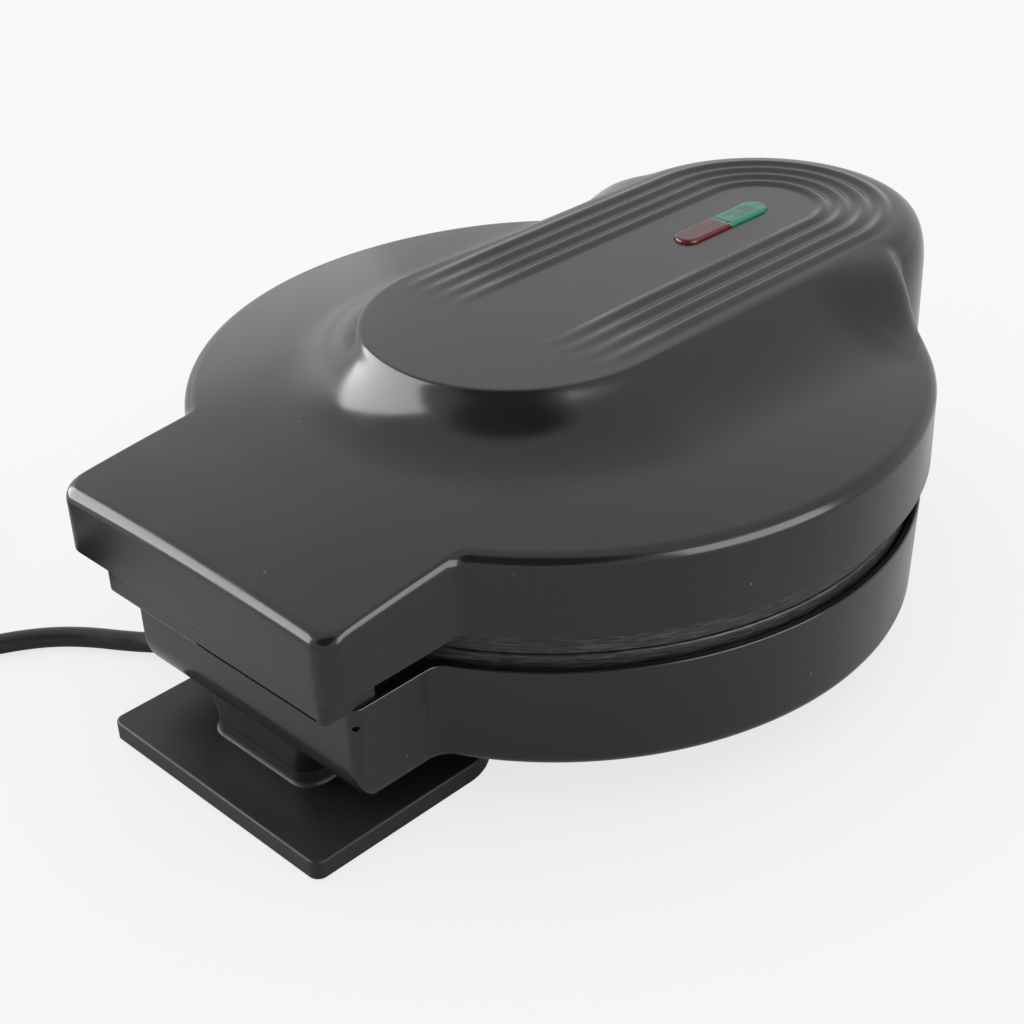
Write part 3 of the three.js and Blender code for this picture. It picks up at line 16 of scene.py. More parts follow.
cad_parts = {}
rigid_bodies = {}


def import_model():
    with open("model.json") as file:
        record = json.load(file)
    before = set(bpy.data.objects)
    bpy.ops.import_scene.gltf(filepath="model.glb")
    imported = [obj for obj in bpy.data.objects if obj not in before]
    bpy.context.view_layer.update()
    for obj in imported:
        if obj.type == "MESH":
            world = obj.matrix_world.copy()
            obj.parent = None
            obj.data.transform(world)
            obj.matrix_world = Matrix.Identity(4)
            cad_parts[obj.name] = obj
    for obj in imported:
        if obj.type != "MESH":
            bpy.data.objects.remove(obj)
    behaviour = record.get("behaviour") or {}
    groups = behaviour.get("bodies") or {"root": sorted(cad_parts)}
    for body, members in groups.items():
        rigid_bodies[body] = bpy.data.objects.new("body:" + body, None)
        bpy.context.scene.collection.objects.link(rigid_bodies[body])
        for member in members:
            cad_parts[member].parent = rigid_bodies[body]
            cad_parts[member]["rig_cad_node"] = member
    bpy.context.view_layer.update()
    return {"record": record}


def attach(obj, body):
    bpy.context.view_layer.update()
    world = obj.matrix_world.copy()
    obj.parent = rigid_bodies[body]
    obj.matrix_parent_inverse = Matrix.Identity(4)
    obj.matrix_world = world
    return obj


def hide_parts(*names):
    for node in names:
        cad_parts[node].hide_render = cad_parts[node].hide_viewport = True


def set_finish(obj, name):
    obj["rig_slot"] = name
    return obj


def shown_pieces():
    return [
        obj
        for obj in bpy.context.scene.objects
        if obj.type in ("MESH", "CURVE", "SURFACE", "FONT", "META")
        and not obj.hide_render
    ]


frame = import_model()

# %% [markdown]
# ## Sizes
# Millimetres, with the lid's circle at x = y = 0, as the part's source has them. `place` turns them
# into the frame's metres, whose origin is the middle of the appliance.

# %%
MM = 0.001
GAP = 0.3
SEAM_Z = 72.85
LID = Sizes(radius=155, block=79.5, rear=195, corner=8.8, fillet=9.5, nose=133.0225, nose_radius=74.5,
            nose_fillet=12, skirt=84.8, ease=0.5, wall=2.6, edge=5.6, dome=126.6, dome_radius=1460)
TOP = Sizes(half=64.4, rear=21.6, height=145.7, crown=30000, shoulder=2.2, ridges=4, pitch=9, first=9.2,
            relief=1.5, fade_start=40, fade_end=-25, flat=14, fall=0.6)
# The flank's curve leaves the shoulder by `leave` and `dip` and meets the dome by `meet`. Each grows
# on the soft sides, and stays a share of the flank's width where the wall is near.
FLANK = Sizes(run=34, side_run=12, front_drop=24, tight=6, open=70, most=0.8, soft_from=30, rear_least=0.35,
              rear_turn=0.75, leave=3, leave_soft=3, leave_most=0.3, meet=4, meet_wide=12, meet_most=0.6,
              dip=0.8, dip_soft=2.2)
# The lenses' last two sizes bound their painted glow, where the colour is painted brighter towards the rim.
LENS = Sizes(width=12, length=57, y=-105.62, edge=1.4, top=147.2, seat=142.3, flange=1.6, depth=1.5,
             glow_from=2.8, glow_deep=1.6)
BASE = Sizes(rim=67.9, bottom=22.8, radius=150.4, draft=1.8, block=66.2, rear=176.6, round=17, tuck=13,
             fillet=5.2, nose=127.0225, nose_radius=64, nose_fillet=14, wall=2.4, rim_round=0.8)
TROUGH = Sizes(front=164.1, rear=188.1, bottom=66.4, rear_top=78.4, front_top=80.1, cheek_top=86.6,
               wall=2.5, corner=3.5, lip=1.8, ease=0.4)
# A moulding seam crosses the trough's rear wall. Near its end a round dent marks the block's side.
SEAM = Sizes(left=-62, right=8, deep=1.9, below=0.4, above=0.5, dent=1.2, dent_deep=1.6, dent_in=2,
             dent_drop=7)
HINGE = Sizes(y=177.8, z=75.1, pin=2, eye=6, ear_in=49.2, ear_out=61.2, web_in=43.7, web_out=46.7,
              bar=4.4, forward=10.4, bore_in=40, bore_out=70)
PLATE = Sizes(radius=148, rim=8.5, ease=1, recess=12, slope=5, thick=2.8, skirt=11.4, skirt_thick=2.5,
              foot_ease=0.3, stud=2, stud_circle=62.16, stud_length=16)
SHIELD = Sizes(drop=11, thick=1)
FIXINGS = [(55, 151), (-55, 151), (0, -157)]
BOSS = Sizes(radius=4.6, hole=1.95, depth=9, rib=1.2)
STAND = Sizes(half=64.4, front=94.9, rear=197.4, rear_corner=4.5, front_corner=25, top=8.9, under=0.6,
              wall=2.5, edge=1.1, ease=0.3, neck_half=30.6, flare=2.6, neck_front=107.8, neck_rear=172.8,
              neck_corner=9, blend=1.2, blend_rise=2.2, split=16, screw_x=22, screw_front=117.4,
              screw_rear=163.2)
LEG = Sizes(x=82, y=-84, top=13, bottom=10, pad=3, ledge=1.6, inset=1.2, ease=0.4, taper=0.6, collar=3)
PAD = Sizes(radius=5.5, height=2.4, side=11, front=20, rear=10, peg=1.2, peg_radius=2.4, taper=0.1,
            ease=0.4, ease_drop=0.3, sole=(1, 0.6, 0.3), front_sole=(1.6, 1.1, 0.35))
CORD = Sizes(radius=4.45, lift=0.05, pitch=9.6, rise=9.6, lower_turns=1, upper_turns=1)
RELIEF = Sizes(y=140.8, root=6.4, tip=5.3, length=28, collar=2.5, grip=2, lead=4, ease=0.4, grooves=5,
               groove=0.5)
COIL = Sizes(x=224, y=235.4, radius=53, start=168.5, tie=258.5)
TIE = Sizes(width=9, thick=0.9, ease=0.2)
PLUG = Sizes(length=36, width=27, height=26, corner=7, neck=16, neck_radius=6.4, neck_corner=6.2, wall=0.9,
             face=1, waist=0.9, grooves=4, groove=0.45)
BLADE = Sizes(width=6.35, thick=1.5, spacing=12.7, earth=2.4, drop=7, sink=2)
shift_y = (LID.nose + LID.nose_radius - STAND.rear) / 2


def place(points):
    """Millimetres about the lid's circle to metres in the frame."""
    points = np.asarray(points, dtype=float)
    return (points + [0, shift_y, 0]) * MM


print("appliance's middle is", round(shift_y, 2), "mm in front of the circle's centre")

# %% [markdown]
# ## Camera
# The camera stands where the photograph's outlines put it: behind the hinge's right corner, looking
# down at 31 degrees, with its horizon turned by 2 degrees.

# %%
CAMERA = Sizes(at=(-479.8, 490.5, 458.7), target=(3.80, 26.31, 54.06), roll=-2.31, lens=64.34, sensor=36)


def make_camera():
    """The photograph's camera."""
    data = bpy.data.cameras.new("camera")
    data.lens = CAMERA.lens
    data.sensor_width = CAMERA.sensor
    camera = bpy.data.objects.new("camera", data)
    bpy.context.scene.collection.objects.link(camera)
    eye, target = (Vector(p) for p in place([CAMERA.at, CAMERA.target]))
    back = (eye - target).normalized()
    right = Vector((0, 0, 1)).cross(back).normalized()
    right = Matrix.Rotation(math.radians(CAMERA.roll), 3, back) @ right
    axes = Matrix((right, back.cross(right), back)).transposed()
    camera.matrix_world = Matrix.Translation(eye) @ axes.to_4x4()
    bpy.context.scene.camera = camera
    return camera


print("camera at", [round(v, 3) for v in make_camera().location])

# %% [markdown]
# ## Supply cord
# The real lead is a round, heat-resistant flex of three cores. The first stretch repeats the route in
# the part's source. The rest is wound into a flat coil of two layers beside the stand, out of the
# photograph's view: one turn in, half a turn up, one turn out. Round rings carried along that line
# without a twist make one smooth tube.

# %%
table_z = CORD.radius + CORD.lift
coil_z = table_z + TIE.thick
relief_tip = STAND.neck_half + RELIEF.length
cord_start = (relief_tip + GAP, RELIEF.y, STAND.split)
ROUTE = [
    cord_start,
    (relief_tip + RELIEF.lead, RELIEF.y, STAND.split),
    (70, 141.8, 14.6),
    (80, 142.8, 11.2),
    (90, 145.9, 7.4),
    (99, 149.9, 5.3),
    (107, 154.7, table_z),
    (115, 160.2, table_z),
    (123, 165.3, table_z),
    (131, 171.3, table_z),
    (138.5, 178.4, table_z),
    (145.3, 187, table_z),
    (151.5, 197.2, table_z),
    (157, 207.7, table_z),
    (162.2, 218, coil_z),
]


def smoothstep(x, low, high):
    """0 below low, 1 above high, smooth between them."""
    t = np.clip((x - low) / (high - low), 0, 1)
    return t * t * (3 - 2 * t)


def coil_points(per_turn=36):
    """Centreline of the coil, from its first outer turn to its last."""
    points = []
    total = CORD.lower_turns + 0.5 + CORD.upper_turns
    steps = round(total * per_turn)
    for i in range(steps + 1):
        turns = i / steps * total
        climb = min(max(turns - CORD.lower_turns, 0), 0.5) / 0.5
        inward = min(turns, CORD.lower_turns + 0.25)
        outward = max(0, turns - CORD.lower_turns - 0.25)
        radius = COIL.radius - CORD.pitch * (inward - outward)
        angle = math.radians(COIL.start) - 2 * math.pi * turns
        z = coil_z + CORD.rise * float(smoothstep(climb, 0, 1))
        points.append(np.array([COIL.x + radius * math.cos(angle), COIL.y + radius * math.sin(angle), z]))
    return points


def through(points, per_span):
    """Centripetal curve through the points, close enough together to draw."""
    pts = [np.array(p, dtype=float) for p in points]
    pts = [2 * pts[0] - pts[1]] + pts + [2 * pts[-1] - pts[-2]]
    drawn = []
    for a, b, c, d in zip(pts, pts[1:], pts[2:], pts[3:]):
        ta = 0.0
        tb = ta + math.sqrt(np.linalg.norm(b - a))
        tc = tb + math.sqrt(np.linalg.norm(c - b))
        td = tc + math.sqrt(np.linalg.norm(d - c))
        for t in np.linspace(tb, tc, per_span, endpoint=False):
            p1 = (tb - t) / (tb - ta) * a + (t - ta) / (tb - ta) * b
            p2 = (tc - t) / (tc - tb) * b + (t - tb) / (tc - tb) * c
            p3 = (td - t) / (td - tc) * c + (t - tc) / (td - tc) * d
            q1 = (tc - t) / (tc - ta) * p1 + (t - ta) / (tc - ta) * p2
            q2 = (td - t) / (td - tb) * p2 + (t - tb) / (td - tb) * p3
            drawn.append((tc - t) / (tc - tb) * q1 + (t - tb) / (tc - tb) * q2)
    return drawn + [pts[-2]]


def straight_end(points):
    """A step of one cord diameter, level, straight on from the last of the points."""
    way = points[-1] - points[-2]
    way[2] = 0
    return way * 2 * CORD.radius / np.linalg.norm(way)


def band_faces(rings, count, closed=False):
    """Faces between neighbouring rings of so many points, and back to the first ring where closed."""
    faces = []
    for r in range(rings if closed else rings - 1):
        here = r * count
        there = (r + 1) % rings * count
        for i in range(count):
            j = (i + 1) % count
            faces.append((here + i, here + j, there + j, there + i))
    return faces


def stack(rings):
    """Closed shape through rings of equal counts, with a flat face on each end."""
    count = len(rings[0])
    last = (len(rings) - 1) * count
    ends = [tuple(range(count))[::-1], tuple(range(last, last + count))]
    return np.vstack(rings), band_faces(len(rings), count) + ends


def new_object(name, points, faces):
    """Mesh object from points in metres."""
    data = bpy.data.meshes.new(name)
    data.from_pydata([tuple(p) for p in points], [], faces)
    made = bpy.data.objects.new(name, data)
    bpy.context.scene.collection.objects.link(made)
    return made


def tube_piece(name, points, radius, around=20):
    """Round tube along points in metres. Its rings are carried along the line without a twist."""
    ways = np.gradient(points, axis=0)
    ways /= np.linalg.norm(ways, axis=1)[:, None]
    turn = np.linspace(0, 2 * math.pi, around, endpoint=False)[:, None]
    side = np.cross(ways[0], (0, 0, 1))
    rings = []
    for centre, way in zip(points, ways):
        side = side - way * side.dot(way)
        side /= np.linalg.norm(side)
        rings.append(centre + radius * (np.cos(turn) * side + np.sin(turn) * np.cross(way, side)))
    piece = new_object(name, *stack(rings))
    for face in piece.data.polygons:
        face.use_smooth = len(face.vertices) == 4
    return piece


wound = coil_points()
cord_end = wound[-1] + straight_end(wound)
coil_join = wound[0] + straight_end(wound[1::-1])
lead_in = coil_join + straight_end(wound[1::-1])
cord_points = place(through(ROUTE + [lead_in, coil_join], 4)[:-1] + [coil_join] + wound + [cord_end])
supply_cord = tube_piece("supply_cord_run", cord_points, CORD.radius * MM)
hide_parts("supply_cord", "cord_coil")
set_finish(supply_cord, "rubber")
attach(supply_cord, "base")

# %% [markdown]
# ## Shapes
# A plan outline is the lid's circle with a square block behind and a round nose in front. Every
# outline has the same count of points, so rings of them loft cleanly into walls, ledges and rims.
# Smaller forms are turned, or are prisms of a plan, and an exact Boolean joins or cuts them.

# %%
def quarter(steps):
    """Sine and cosine of so many angles from nothing to a quarter turn."""
    return [(math.sin(t), math.cos(t)) for t in np.linspace(0, math.pi / 2, steps)]


def arc(cx, cy, radius, start, end, steps):
    """Points of an arc, ends included, angles in radians."""
    angles = np.linspace(start, end, steps + 1)
    return [(cx + radius * math.cos(a), cy + radius * math.sin(a)) for a in angles]


def mirrored(right):
    """Points of a right half, and the same ones on the left in return."""
    return right + [(-x, y) for x, y in right][::-1]


def outline(radius, block, rear, corner, fillet, nose, nose_radius, nose_fillet):
    """Plan outline, anticlockwise from the nose's tip."""
    reach2 = (radius + nose_fillet) ** 2
    fy = -(reach2 - (nose_radius + nose_fillet) ** 2 + nose**2) / (2 * nose)
    fx = math.sqrt(reach2 - fy**2)
    to_nose = math.atan2(fy + nose, fx)
    start = math.atan2(fy, fx)
    gx = block + fillet
    gy = math.sqrt((radius + fillet) ** 2 - gx**2)
    end = math.atan2(gy, gx)
    half = arc(0, -nose, nose_radius, -math.pi / 2, to_nose, 34)
    half += arc(fx, fy, nose_fillet, to_nose + math.pi, start + math.pi, 12)[1:]
    half += arc(0, 0, radius, start, end, 74)[1:]
    half += arc(gx, gy, fillet, end + math.pi, math.pi, 12)[1:]
    half += [(block, y) for y in np.linspace(gy, rear - corner, 22)[1:-1]]
    half += arc(block - corner, rear - corner, corner, 0, math.pi / 2, 12)
    half += [(x, rear) for x in np.linspace(block - corner, 0, 16)[1:]]
    left = [(-x, y) for x, y in half[1:-1]][::-1]
    return np.array(half + left)


def lid_outline(inset=0.0):
    """The lid's outline, moved in by inset."""
    return outline(LID.radius - inset, LID.block - inset, LID.rear - inset, max(LID.corner - inset, 1),
                   LID.fillet + inset, LID.nose, LID.nose_radius - inset, LID.nose_fillet + inset)


def rays_of(points, low, high):
    """Rays from the axis x = 0, low < y < high, through each point: (feet, directions)."""
    feet = np.column_stack([np.zeros(len(points)), np.clip(points[:, 1], low, high)])
    ways = points - feet
    return feet, ways / np.linalg.norm(ways, axis=1)[:, None]


def reach(rays, points):
    """How far along each ray the closed outline of points lies."""
    feet, ways = rays
    side = np.roll(points, -1, axis=0) - points
    start = points[None, :, :] - feet[:, None, :]
    cross = ways[:, None, 0] * side[None, :, 1] - ways[:, None, 1] * side[None, :, 0]
    cross = np.where(np.abs(cross) < 1e-12, np.nan, cross)
    along = (start[..., 0] * side[None, :, 1] - start[..., 1] * side[None, :, 0]) / cross
    share = (start[..., 0] * ways[:, None, 1] - start[..., 1] * ways[:, None, 0]) / cross
    hit = (share >= -1e-9) & (share <= 1 + 1e-9) & (along > 0)
    return np.nanmax(np.where(hit, along, np.nan), axis=1)


def on_ray(rays, distance, z=0):
    """Ring of points that far along each ray, at height z."""
    feet, ways = rays
    xy = feet + ways * np.reshape(distance, (-1, 1))
    return np.column_stack([xy, np.broadcast_to(z, len(xy))])


def level(points, z):
    """Plan points at height z."""
    points = np.asarray(points, dtype=float)
    return np.column_stack([points, np.full(len(points), z)])


def loft(rings, closed=False):
    """Closed shape through rings of equal counts. Its ends are zipped in rows, or joined in a loop."""
    count = len(rings[0])
    faces = band_faces(len(rings), count, closed)
    if closed:
        return np.vstack(rings), faces
    last = (len(rings) - 1) * count
    for i in range((count - 1) // 2 + 1):
        j = count - i
        if i == 0:
            faces += [(0, count - 1, 1), (last, last + 1, last + count - 1)]
        elif i + 1 < j - 1:
            faces += [(i, j, j - 1, i + 1), (last + i, last + i + 1, last + j - 1, last + j)]
        elif i + 1 == j - 1:
            faces += [(i, j, i + 1), (last + i, last + i + 1, last + j)]
    return np.vstack(rings), faces


def turned(profile, segments, x=0.0, y=0.0):
    """Closed turned shape about an upright axis, from (radius, height) pairs that start and end on it."""
    angles = np.linspace(0, 2 * math.pi, segments, endpoint=False)
    rings = [level(np.column_stack([x + r * np.cos(angles), y + r * np.sin(angles)]), z)
             for r, z in profile[1:-1]]
    vertices = np.vstack([[(x, y, profile[0][1])], *rings, [(x, y, profile[-1][1])]])
    last = len(vertices) - 1
    faces = []
    for i in range(segments):
        j = (i + 1) % segments
        faces.append((0, 1 + j, 1 + i))
        for k in range(len(rings) - 1):
            a, b = 1 + k * segments + i, 1 + k * segments + j
            faces.append((a, b, b + segments, a + segments))
        faces.append((last - segments + i, last - segments + j, last))
    return vertices, faces


def post(x, y, z0, z1, radius, segments=32):
    """Upright cylinder."""
    return turned([(0, z0), (radius, z0), (radius, z1), (0, z1)], segments, x, y)


def along_x(shape, y, z):
    """A turned shape laid down along X, its axis at that y and z."""
    vertices, faces = shape
    return np.column_stack([vertices[:, 2], vertices[:, 0] + y, vertices[:, 1] + z]), faces


def rod(x0, x1, y, z, radius):
    """Cylinder along X."""
    return along_x(post(0, 0, min(x0, x1), max(x0, x1), radius), y, z)


def prism(points, z0, z1):
    """Upright prism of a plan."""
    return stack([level(points, z0), level(points, z1)])


def brick(x0, x1, y0, y1, z0, z1):
    """Box between two corners."""
    low, high = min(x0, x1), max(x0, x1)
    return prism([(low, y0), (high, y0), (high, y1), (low, y1)], z0, z1)


def rounded_plan(half, front, rear, corner, front_corner=None, steps=10):
    """Rectangle with rounded corners in plan, anticlockwise."""
    front_corner = corner if front_corner is None else front_corner
    right = arc(half - front_corner, front + front_corner, front_corner, -math.pi / 2, 0, steps)
    return mirrored(right + arc(half - corner, rear - corner, corner, 0, math.pi / 2, steps))


def mesh_piece(name, vertices, faces):
    """Object from vertices in millimetres and faces, shaded smooth except at sharp edges."""
    piece = new_object(name, place(vertices), faces)
    smooth(piece)
    return piece


def smooth(piece, angle=35):
    """Shades a mesh smooth, with edges sharper than the angle left sharp."""
    bm = bmesh.new()
    bm.from_mesh(piece.data)
    bmesh.ops.remove_doubles(bm, verts=bm.verts, dist=1e-7)
    bmesh.ops.recalc_face_normals(bm, faces=bm.faces)
    limit = math.radians(angle)
    for face in bm.faces:
        face.smooth = True
    for edge in bm.edges:
        edge.smooth = len(edge.link_faces) != 2 or edge.calc_face_angle(0) < limit
    bm.to_mesh(piece.data)
    bm.free()
    piece.data.update()


def joined(*shapes):
    """Several closed shapes as one."""
    vertices, faces, start = [], [], 0
    for points, polygons in shapes:
        vertices.append(points)
        faces += [tuple(i + start for i in f) for f in polygons]
        start += len(points)
    return np.vstack(vertices), faces


def carve(piece, operation, *shapes):
    """Joins shapes to a piece (UNION) or cuts them from it (DIFFERENCE). The shapes don't touch."""
    tool = mesh_piece("tool", *joined(*shapes))
    modifier = piece.modifiers.new("carve", "BOOLEAN")
    modifier.operation = operation
    modifier.solver = "EXACT"
    modifier.object = tool
    ready = piece.evaluated_get(bpy.context.evaluated_depsgraph_get())
    made = bpy.data.meshes.new_from_object(ready)
    piece.modifiers.clear()
    old = piece.data
    piece.data = made
    bpy.data.meshes.remove(old)
    bpy.data.objects.remove(tool)
    made.name = piece.name


def taken(piece):
    """A scratch piece as a shape in millimetres. The piece itself goes."""
    points = np.array([v.co for v in piece.data.vertices]) / MM - [0, shift_y, 0]
    faces = [tuple(f.vertices) for f in piece.data.polygons]
    bpy.data.objects.remove(piece)
    return points, faces


def settle(piece, nodes_stood_for, slot, body, angle=35):
    """Last steps of a piece: shading, the solids that it stands for, its finish and its body."""
    smooth(piece, angle)
    piece.modifiers.new("even_normals", "WEIGHTED_NORMAL").keep_sharp = True
    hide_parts(*nodes_stood_for)
    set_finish(piece, slot)
    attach(piece, body)
    print(piece.name, "has", len(piece.data.polygons), "faces")


print("lid outline has", len(lid_outline()), "points")

# %% [markdown]
# ## Upper cover
# The real cover is one moulding. Along each ray from the raised top's axis it has one profile: wall,
# rounded edge, dome, the raised top's flank and shoulder, then four ridges that fade towards the rear,
# and the plain middle with its window. Rings of such points give a smooth skin without any Boolean,
# and the last ring runs down through the window to the first, so the shell closes on itself.

# %%
lid_rays = rays_of(lid_outline(), -LID.nose, TOP.rear)


def dome_z(p):
    """Height of the dome at points."""
    return LID.dome - (p[:, 0] ** 2 + p[:, 1] ** 2) / (2 * LID.dome_radius)


def crown_z(p):
    """Height of the raised top's gentle crown at points."""
    return TOP.height - (p[:, 0] ** 2 + p[:, 1] ** 2) / (2 * TOP.crown)


def bezier(a, b, c, d, t):
    """Cubic curve between control values."""
    s = 1 - t
    return a * s**3 + 3 * b * s * s * t + 3 * c * s * t * t + d * t**3


def blended(a, b, share):
    """From a to b by a share."""
    return a + (b - a) * share


def side_share():
    """Share of each ray that belongs to the sides and the handle, where the shoulder is soft."""
    return 1 - smoothstep(lid_rays[0][:, 1], TOP.fade_end - FLANK.soft_from, TOP.rear)


def flank_rings(wall_at, cut, steps):
    """Rings of the concave flank from the shoulder to its foot, and the foot's reach, height and spread."""
    soft = side_share()
    rearward = smoothstep(lid_rays[1][:, 1], 0, FLANK.rear_turn)
    wide = 1 - (1 - soft) * blended(FLANK.rear_least, 1, rearward)
    room = wall_at - TOP.half
    spread = smoothstep(room, FLANK.tight, FLANK.open)
    width = blended(room, np.minimum(FLANK.run + FLANK.side_run * wide, room * FLANK.most), spread)
    foot_at = TOP.half + width
    dome_foot = dome_z(on_ray(lid_rays, foot_at)) - cut
    dome_slope = dome_z(on_ray(lid_rays, foot_at - 1)) - cut - dome_foot
    shoulder_z = crown_z(on_ray(lid_rays, TOP.half)) - cut - TOP.fall * soft
    foot_z = blended(shoulder_z - FLANK.front_drop, dome_foot, spread)
    leave_at = TOP.half + np.minimum(FLANK.leave + FLANK.leave_soft * soft, FLANK.leave_most * width)
    meet_at = TOP.half + np.minimum(FLANK.meet + FLANK.meet_wide * wide, FLANK.meet_most * width)
    leave_z = shoulder_z - (FLANK.dip + FLANK.dip_soft * soft)
    meet_z = foot_z + dome_slope * (foot_at - meet_at)
    out = (TOP.half, blended(foot_at - TOP.shoulder, leave_at, spread),
           blended(foot_at, meet_at, spread), foot_at)
    down = (shoulder_z, blended(shoulder_z - TOP.shoulder, leave_z, spread),
            blended(shoulder_z - FLANK.front_drop / 2, meet_z, spread), foot_z)
    rings = [on_ray(lid_rays, bezier(*out, t), bezier(*down, t)) for t in np.linspace(0, 1, steps + 1)]
    return rings, foot_at, foot_z, spread


def cover_rings(inset, cut, flank_steps, edge_steps, dome_steps=8):
    """Rings of the cover's skin from its wall's top up to the raised top's shoulder."""
    wall_at = reach(lid_rays, lid_outline(inset))
    rings, foot_at, foot_z, spread = flank_rings(wall_at, cut, flank_steps)
    edge_at = np.maximum(wall_at - LID.edge, foot_at)
    edge_z = blended(foot_z - TOP.shoulder, dome_z(on_ray(lid_rays, edge_at)) - cut, spread)
    for t in np.linspace(0, 1, dome_steps + 1)[1:-1]:
        r = blended(foot_at, edge_at, t)
        domed = dome_z(on_ray(lid_rays, r)) - cut
        rings.append(on_ray(lid_rays, r, blended(blended(foot_z, edge_z, t), domed, spread)))
    for sine, cosine in quarter(edge_steps + 1):
        rings.append(on_ray(lid_rays, blended(edge_at, wall_at, sine), edge_z - LID.edge * (1 - cosine)))
    return rings[::-1]


def ridge_z(inside, y):
    """Height of the ridges at a distance inside the shoulder, fading out towards the rear."""
    phase = (inside - TOP.first) / TOP.pitch
    if not -0.5 < phase < TOP.ridges - 0.5:
        return 0 * y
    fade = 1 - smoothstep(y, TOP.fade_end, TOP.fade_start)
    return fade * TOP.relief * (1 + math.cos(2 * math.pi * phase)) / 2


def top_rings(steps=8):
    """Rings of the ridged band and the plain middle, from the shoulder inwards."""
    rings = []
    first = TOP.first - TOP.pitch / 2
    insides = [first * t for t in (0.25, 0.5, 0.75)]
    insides += list(first + np.arange(TOP.ridges * steps + 1) * TOP.pitch / steps)
    for inside in insides + [TOP.half - TOP.flat]:
        ring = on_ray(lid_rays, TOP.half - inside)
        fall = TOP.fall * side_share() * max(0, 1 - inside / first) ** 2
        ring[:, 2] = crown_z(ring) + ridge_z(inside, ring[:, 1]) - fall
        rings.append(ring)
    return rings


def window_ring(grow, z=None):
    """The lens window's outline, one point for each ray, on the crown or at height z."""
    half = LENS.length / 2 - LENS.width / 2
    feet, ways = lid_rays
    xy = ways * (LENS.width / 2 + grow)
    xy[:, 1] += np.clip(feet[:, 1], LENS.y - half, LENS.y + half)
    ring = level(xy, 0)
    ring[:, 2] = crown_z(ring) if z is None else z
    return ring


def upper_cover(above_ceiling=4):
    """The cover as a closed shell, skirt down, with its window. A flat ceiling closes its top inside."""
    wall = LID.wall
    inner_wall = reach(lid_rays, lid_outline(wall))
    wall_at = reach(lid_rays, lid_outline())
    ceiling = on_ray(lid_rays, np.minimum(TOP.half - wall - TOP.shoulder, inner_wall - wall))
    ceiling[:, 2] = crown_z(on_ray(lid_rays, TOP.half)) - wall
    inside = cover_rings(wall, wall, 8, 4)[::-1][above_ceiling:]
    skirt = [on_ray(lid_rays, inner_wall, LID.skirt)]
    for sine, cosine in quarter(4):
        skirt.append(on_ray(lid_rays, wall_at - LID.ease * (1 - sine), LID.skirt + LID.ease * (1 - cosine)))
    seat = [window_ring(GAP), window_ring(GAP, LENS.seat), window_ring(2 * LENS.flange, LENS.seat)]
    seat += [window_ring(2 * LENS.flange, float(ceiling[0, 2]))]
    rings = [ceiling] + inside + skirt + cover_rings(0, 0, 22, 9) + top_rings() + seat
    return mesh_piece("upper_cover_shell", *loft(rings, closed=True))


settle(upper_cover(), ["upper_cover"], "gloss_body", "lid")

# %% [markdown]
# ## Inside the lid
# Two ears drop from the cover into the hinge trough, and hollow pillars take the shield's screws. They
# show when the lid is open, so they are made as one piece that meets the cover's ceiling.

# %%
shield_z = SEAM_Z - GAP / 2 - PLATE.recess - PLATE.thick - GAP - SHIELD.drop


def ceiling_over(x, y):
    """Height just inside the dome's underside over a point."""
    return float(dome_z(np.array([[x, y]]))[0]) - LID.wall + 1


def ear_profile():
    """The ear's outline in the hinge's own Y and Z: a round eye with a straight bar up to the roof."""
    roof = ceiling_over(LID.block, HINGE.y) - HINGE.z
    front = -HINGE.forward
    back = front + HINGE.bar
    eye = arc(0, 0, HINGE.eye, -math.pi * 0.6, math.pi * 0.55, 28)
    return [(front, -HINGE.pin)] + eye + [(back, HINGE.eye), (back, roof), (front, roof)]


def lid_fittings():
    """Ears and pillars of the lid as one piece."""
    turn = [(y + HINGE.y, z + HINGE.z) for y, z in ear_profile()]
    shapes = []
    for side in (-1, 1):
        vertices, faces = prism(turn, *sorted((side * HINGE.ear_in, side * HINGE.ear_out)))
        shapes.append((vertices[:, [2, 0, 1]], faces))
    foot = 2 * SEAM_Z - shield_z + SHIELD.thick + GAP
    bore = foot + BOSS.depth + 2
    for x, y in FIXINGS:
        roof = ceiling_over(x, y) if y > 0 else LENS.seat
        shapes.append(turned([(0, bore), (BOSS.hole, bore), (BOSS.hole, foot), (BOSS.radius, foot),
                              (BOSS.radius, roof), (0, roof)], 32, x, y))
    piece = mesh_piece("lid_ears_and_pillars", *joined(*shapes))
    carve(piece, "DIFFERENCE", *pin_bores(HINGE.bore_in, HINGE.bore_out))
    return piece


def pin_bores(start, end):
    """Bores for both hinge pins."""
    return [rod(side * start, side * end, HINGE.y, HINGE.z, HINGE.pin + GAP) for side in (-1, 1)]


settle(lid_fittings(), ["upper_cover"], "gloss_body", "lid")

# %% [markdown]
# ## Signal lenses
# Two clear plastic lenses meet end to end in the window. Each is half of a long oval with a rounded
# top edge and a flange that keeps it from falling out. Rings of one D-shaped plan, drawn in a little
# more at each height, give the soft rim that catches the light.

# %%
def lens_plan(sign, grow):
    """Half of the window's oval, cut across the middle."""
    radius = LENS.width / 2 + grow
    centre = LENS.y + sign * (LENS.length - LENS.width) / 2
    cut = LENS.y + sign * (GAP / 2 - min(grow, 0))
    start = 0 if sign > 0 else math.pi
    bend = arc(0, centre, radius, start, start + math.pi, 24)
    straight = np.linspace(centre, cut, 7)[1:]
    return bend + [(-sign * radius, y) for y in straight] + [(sign * radius, y) for y in straight[::-1]]


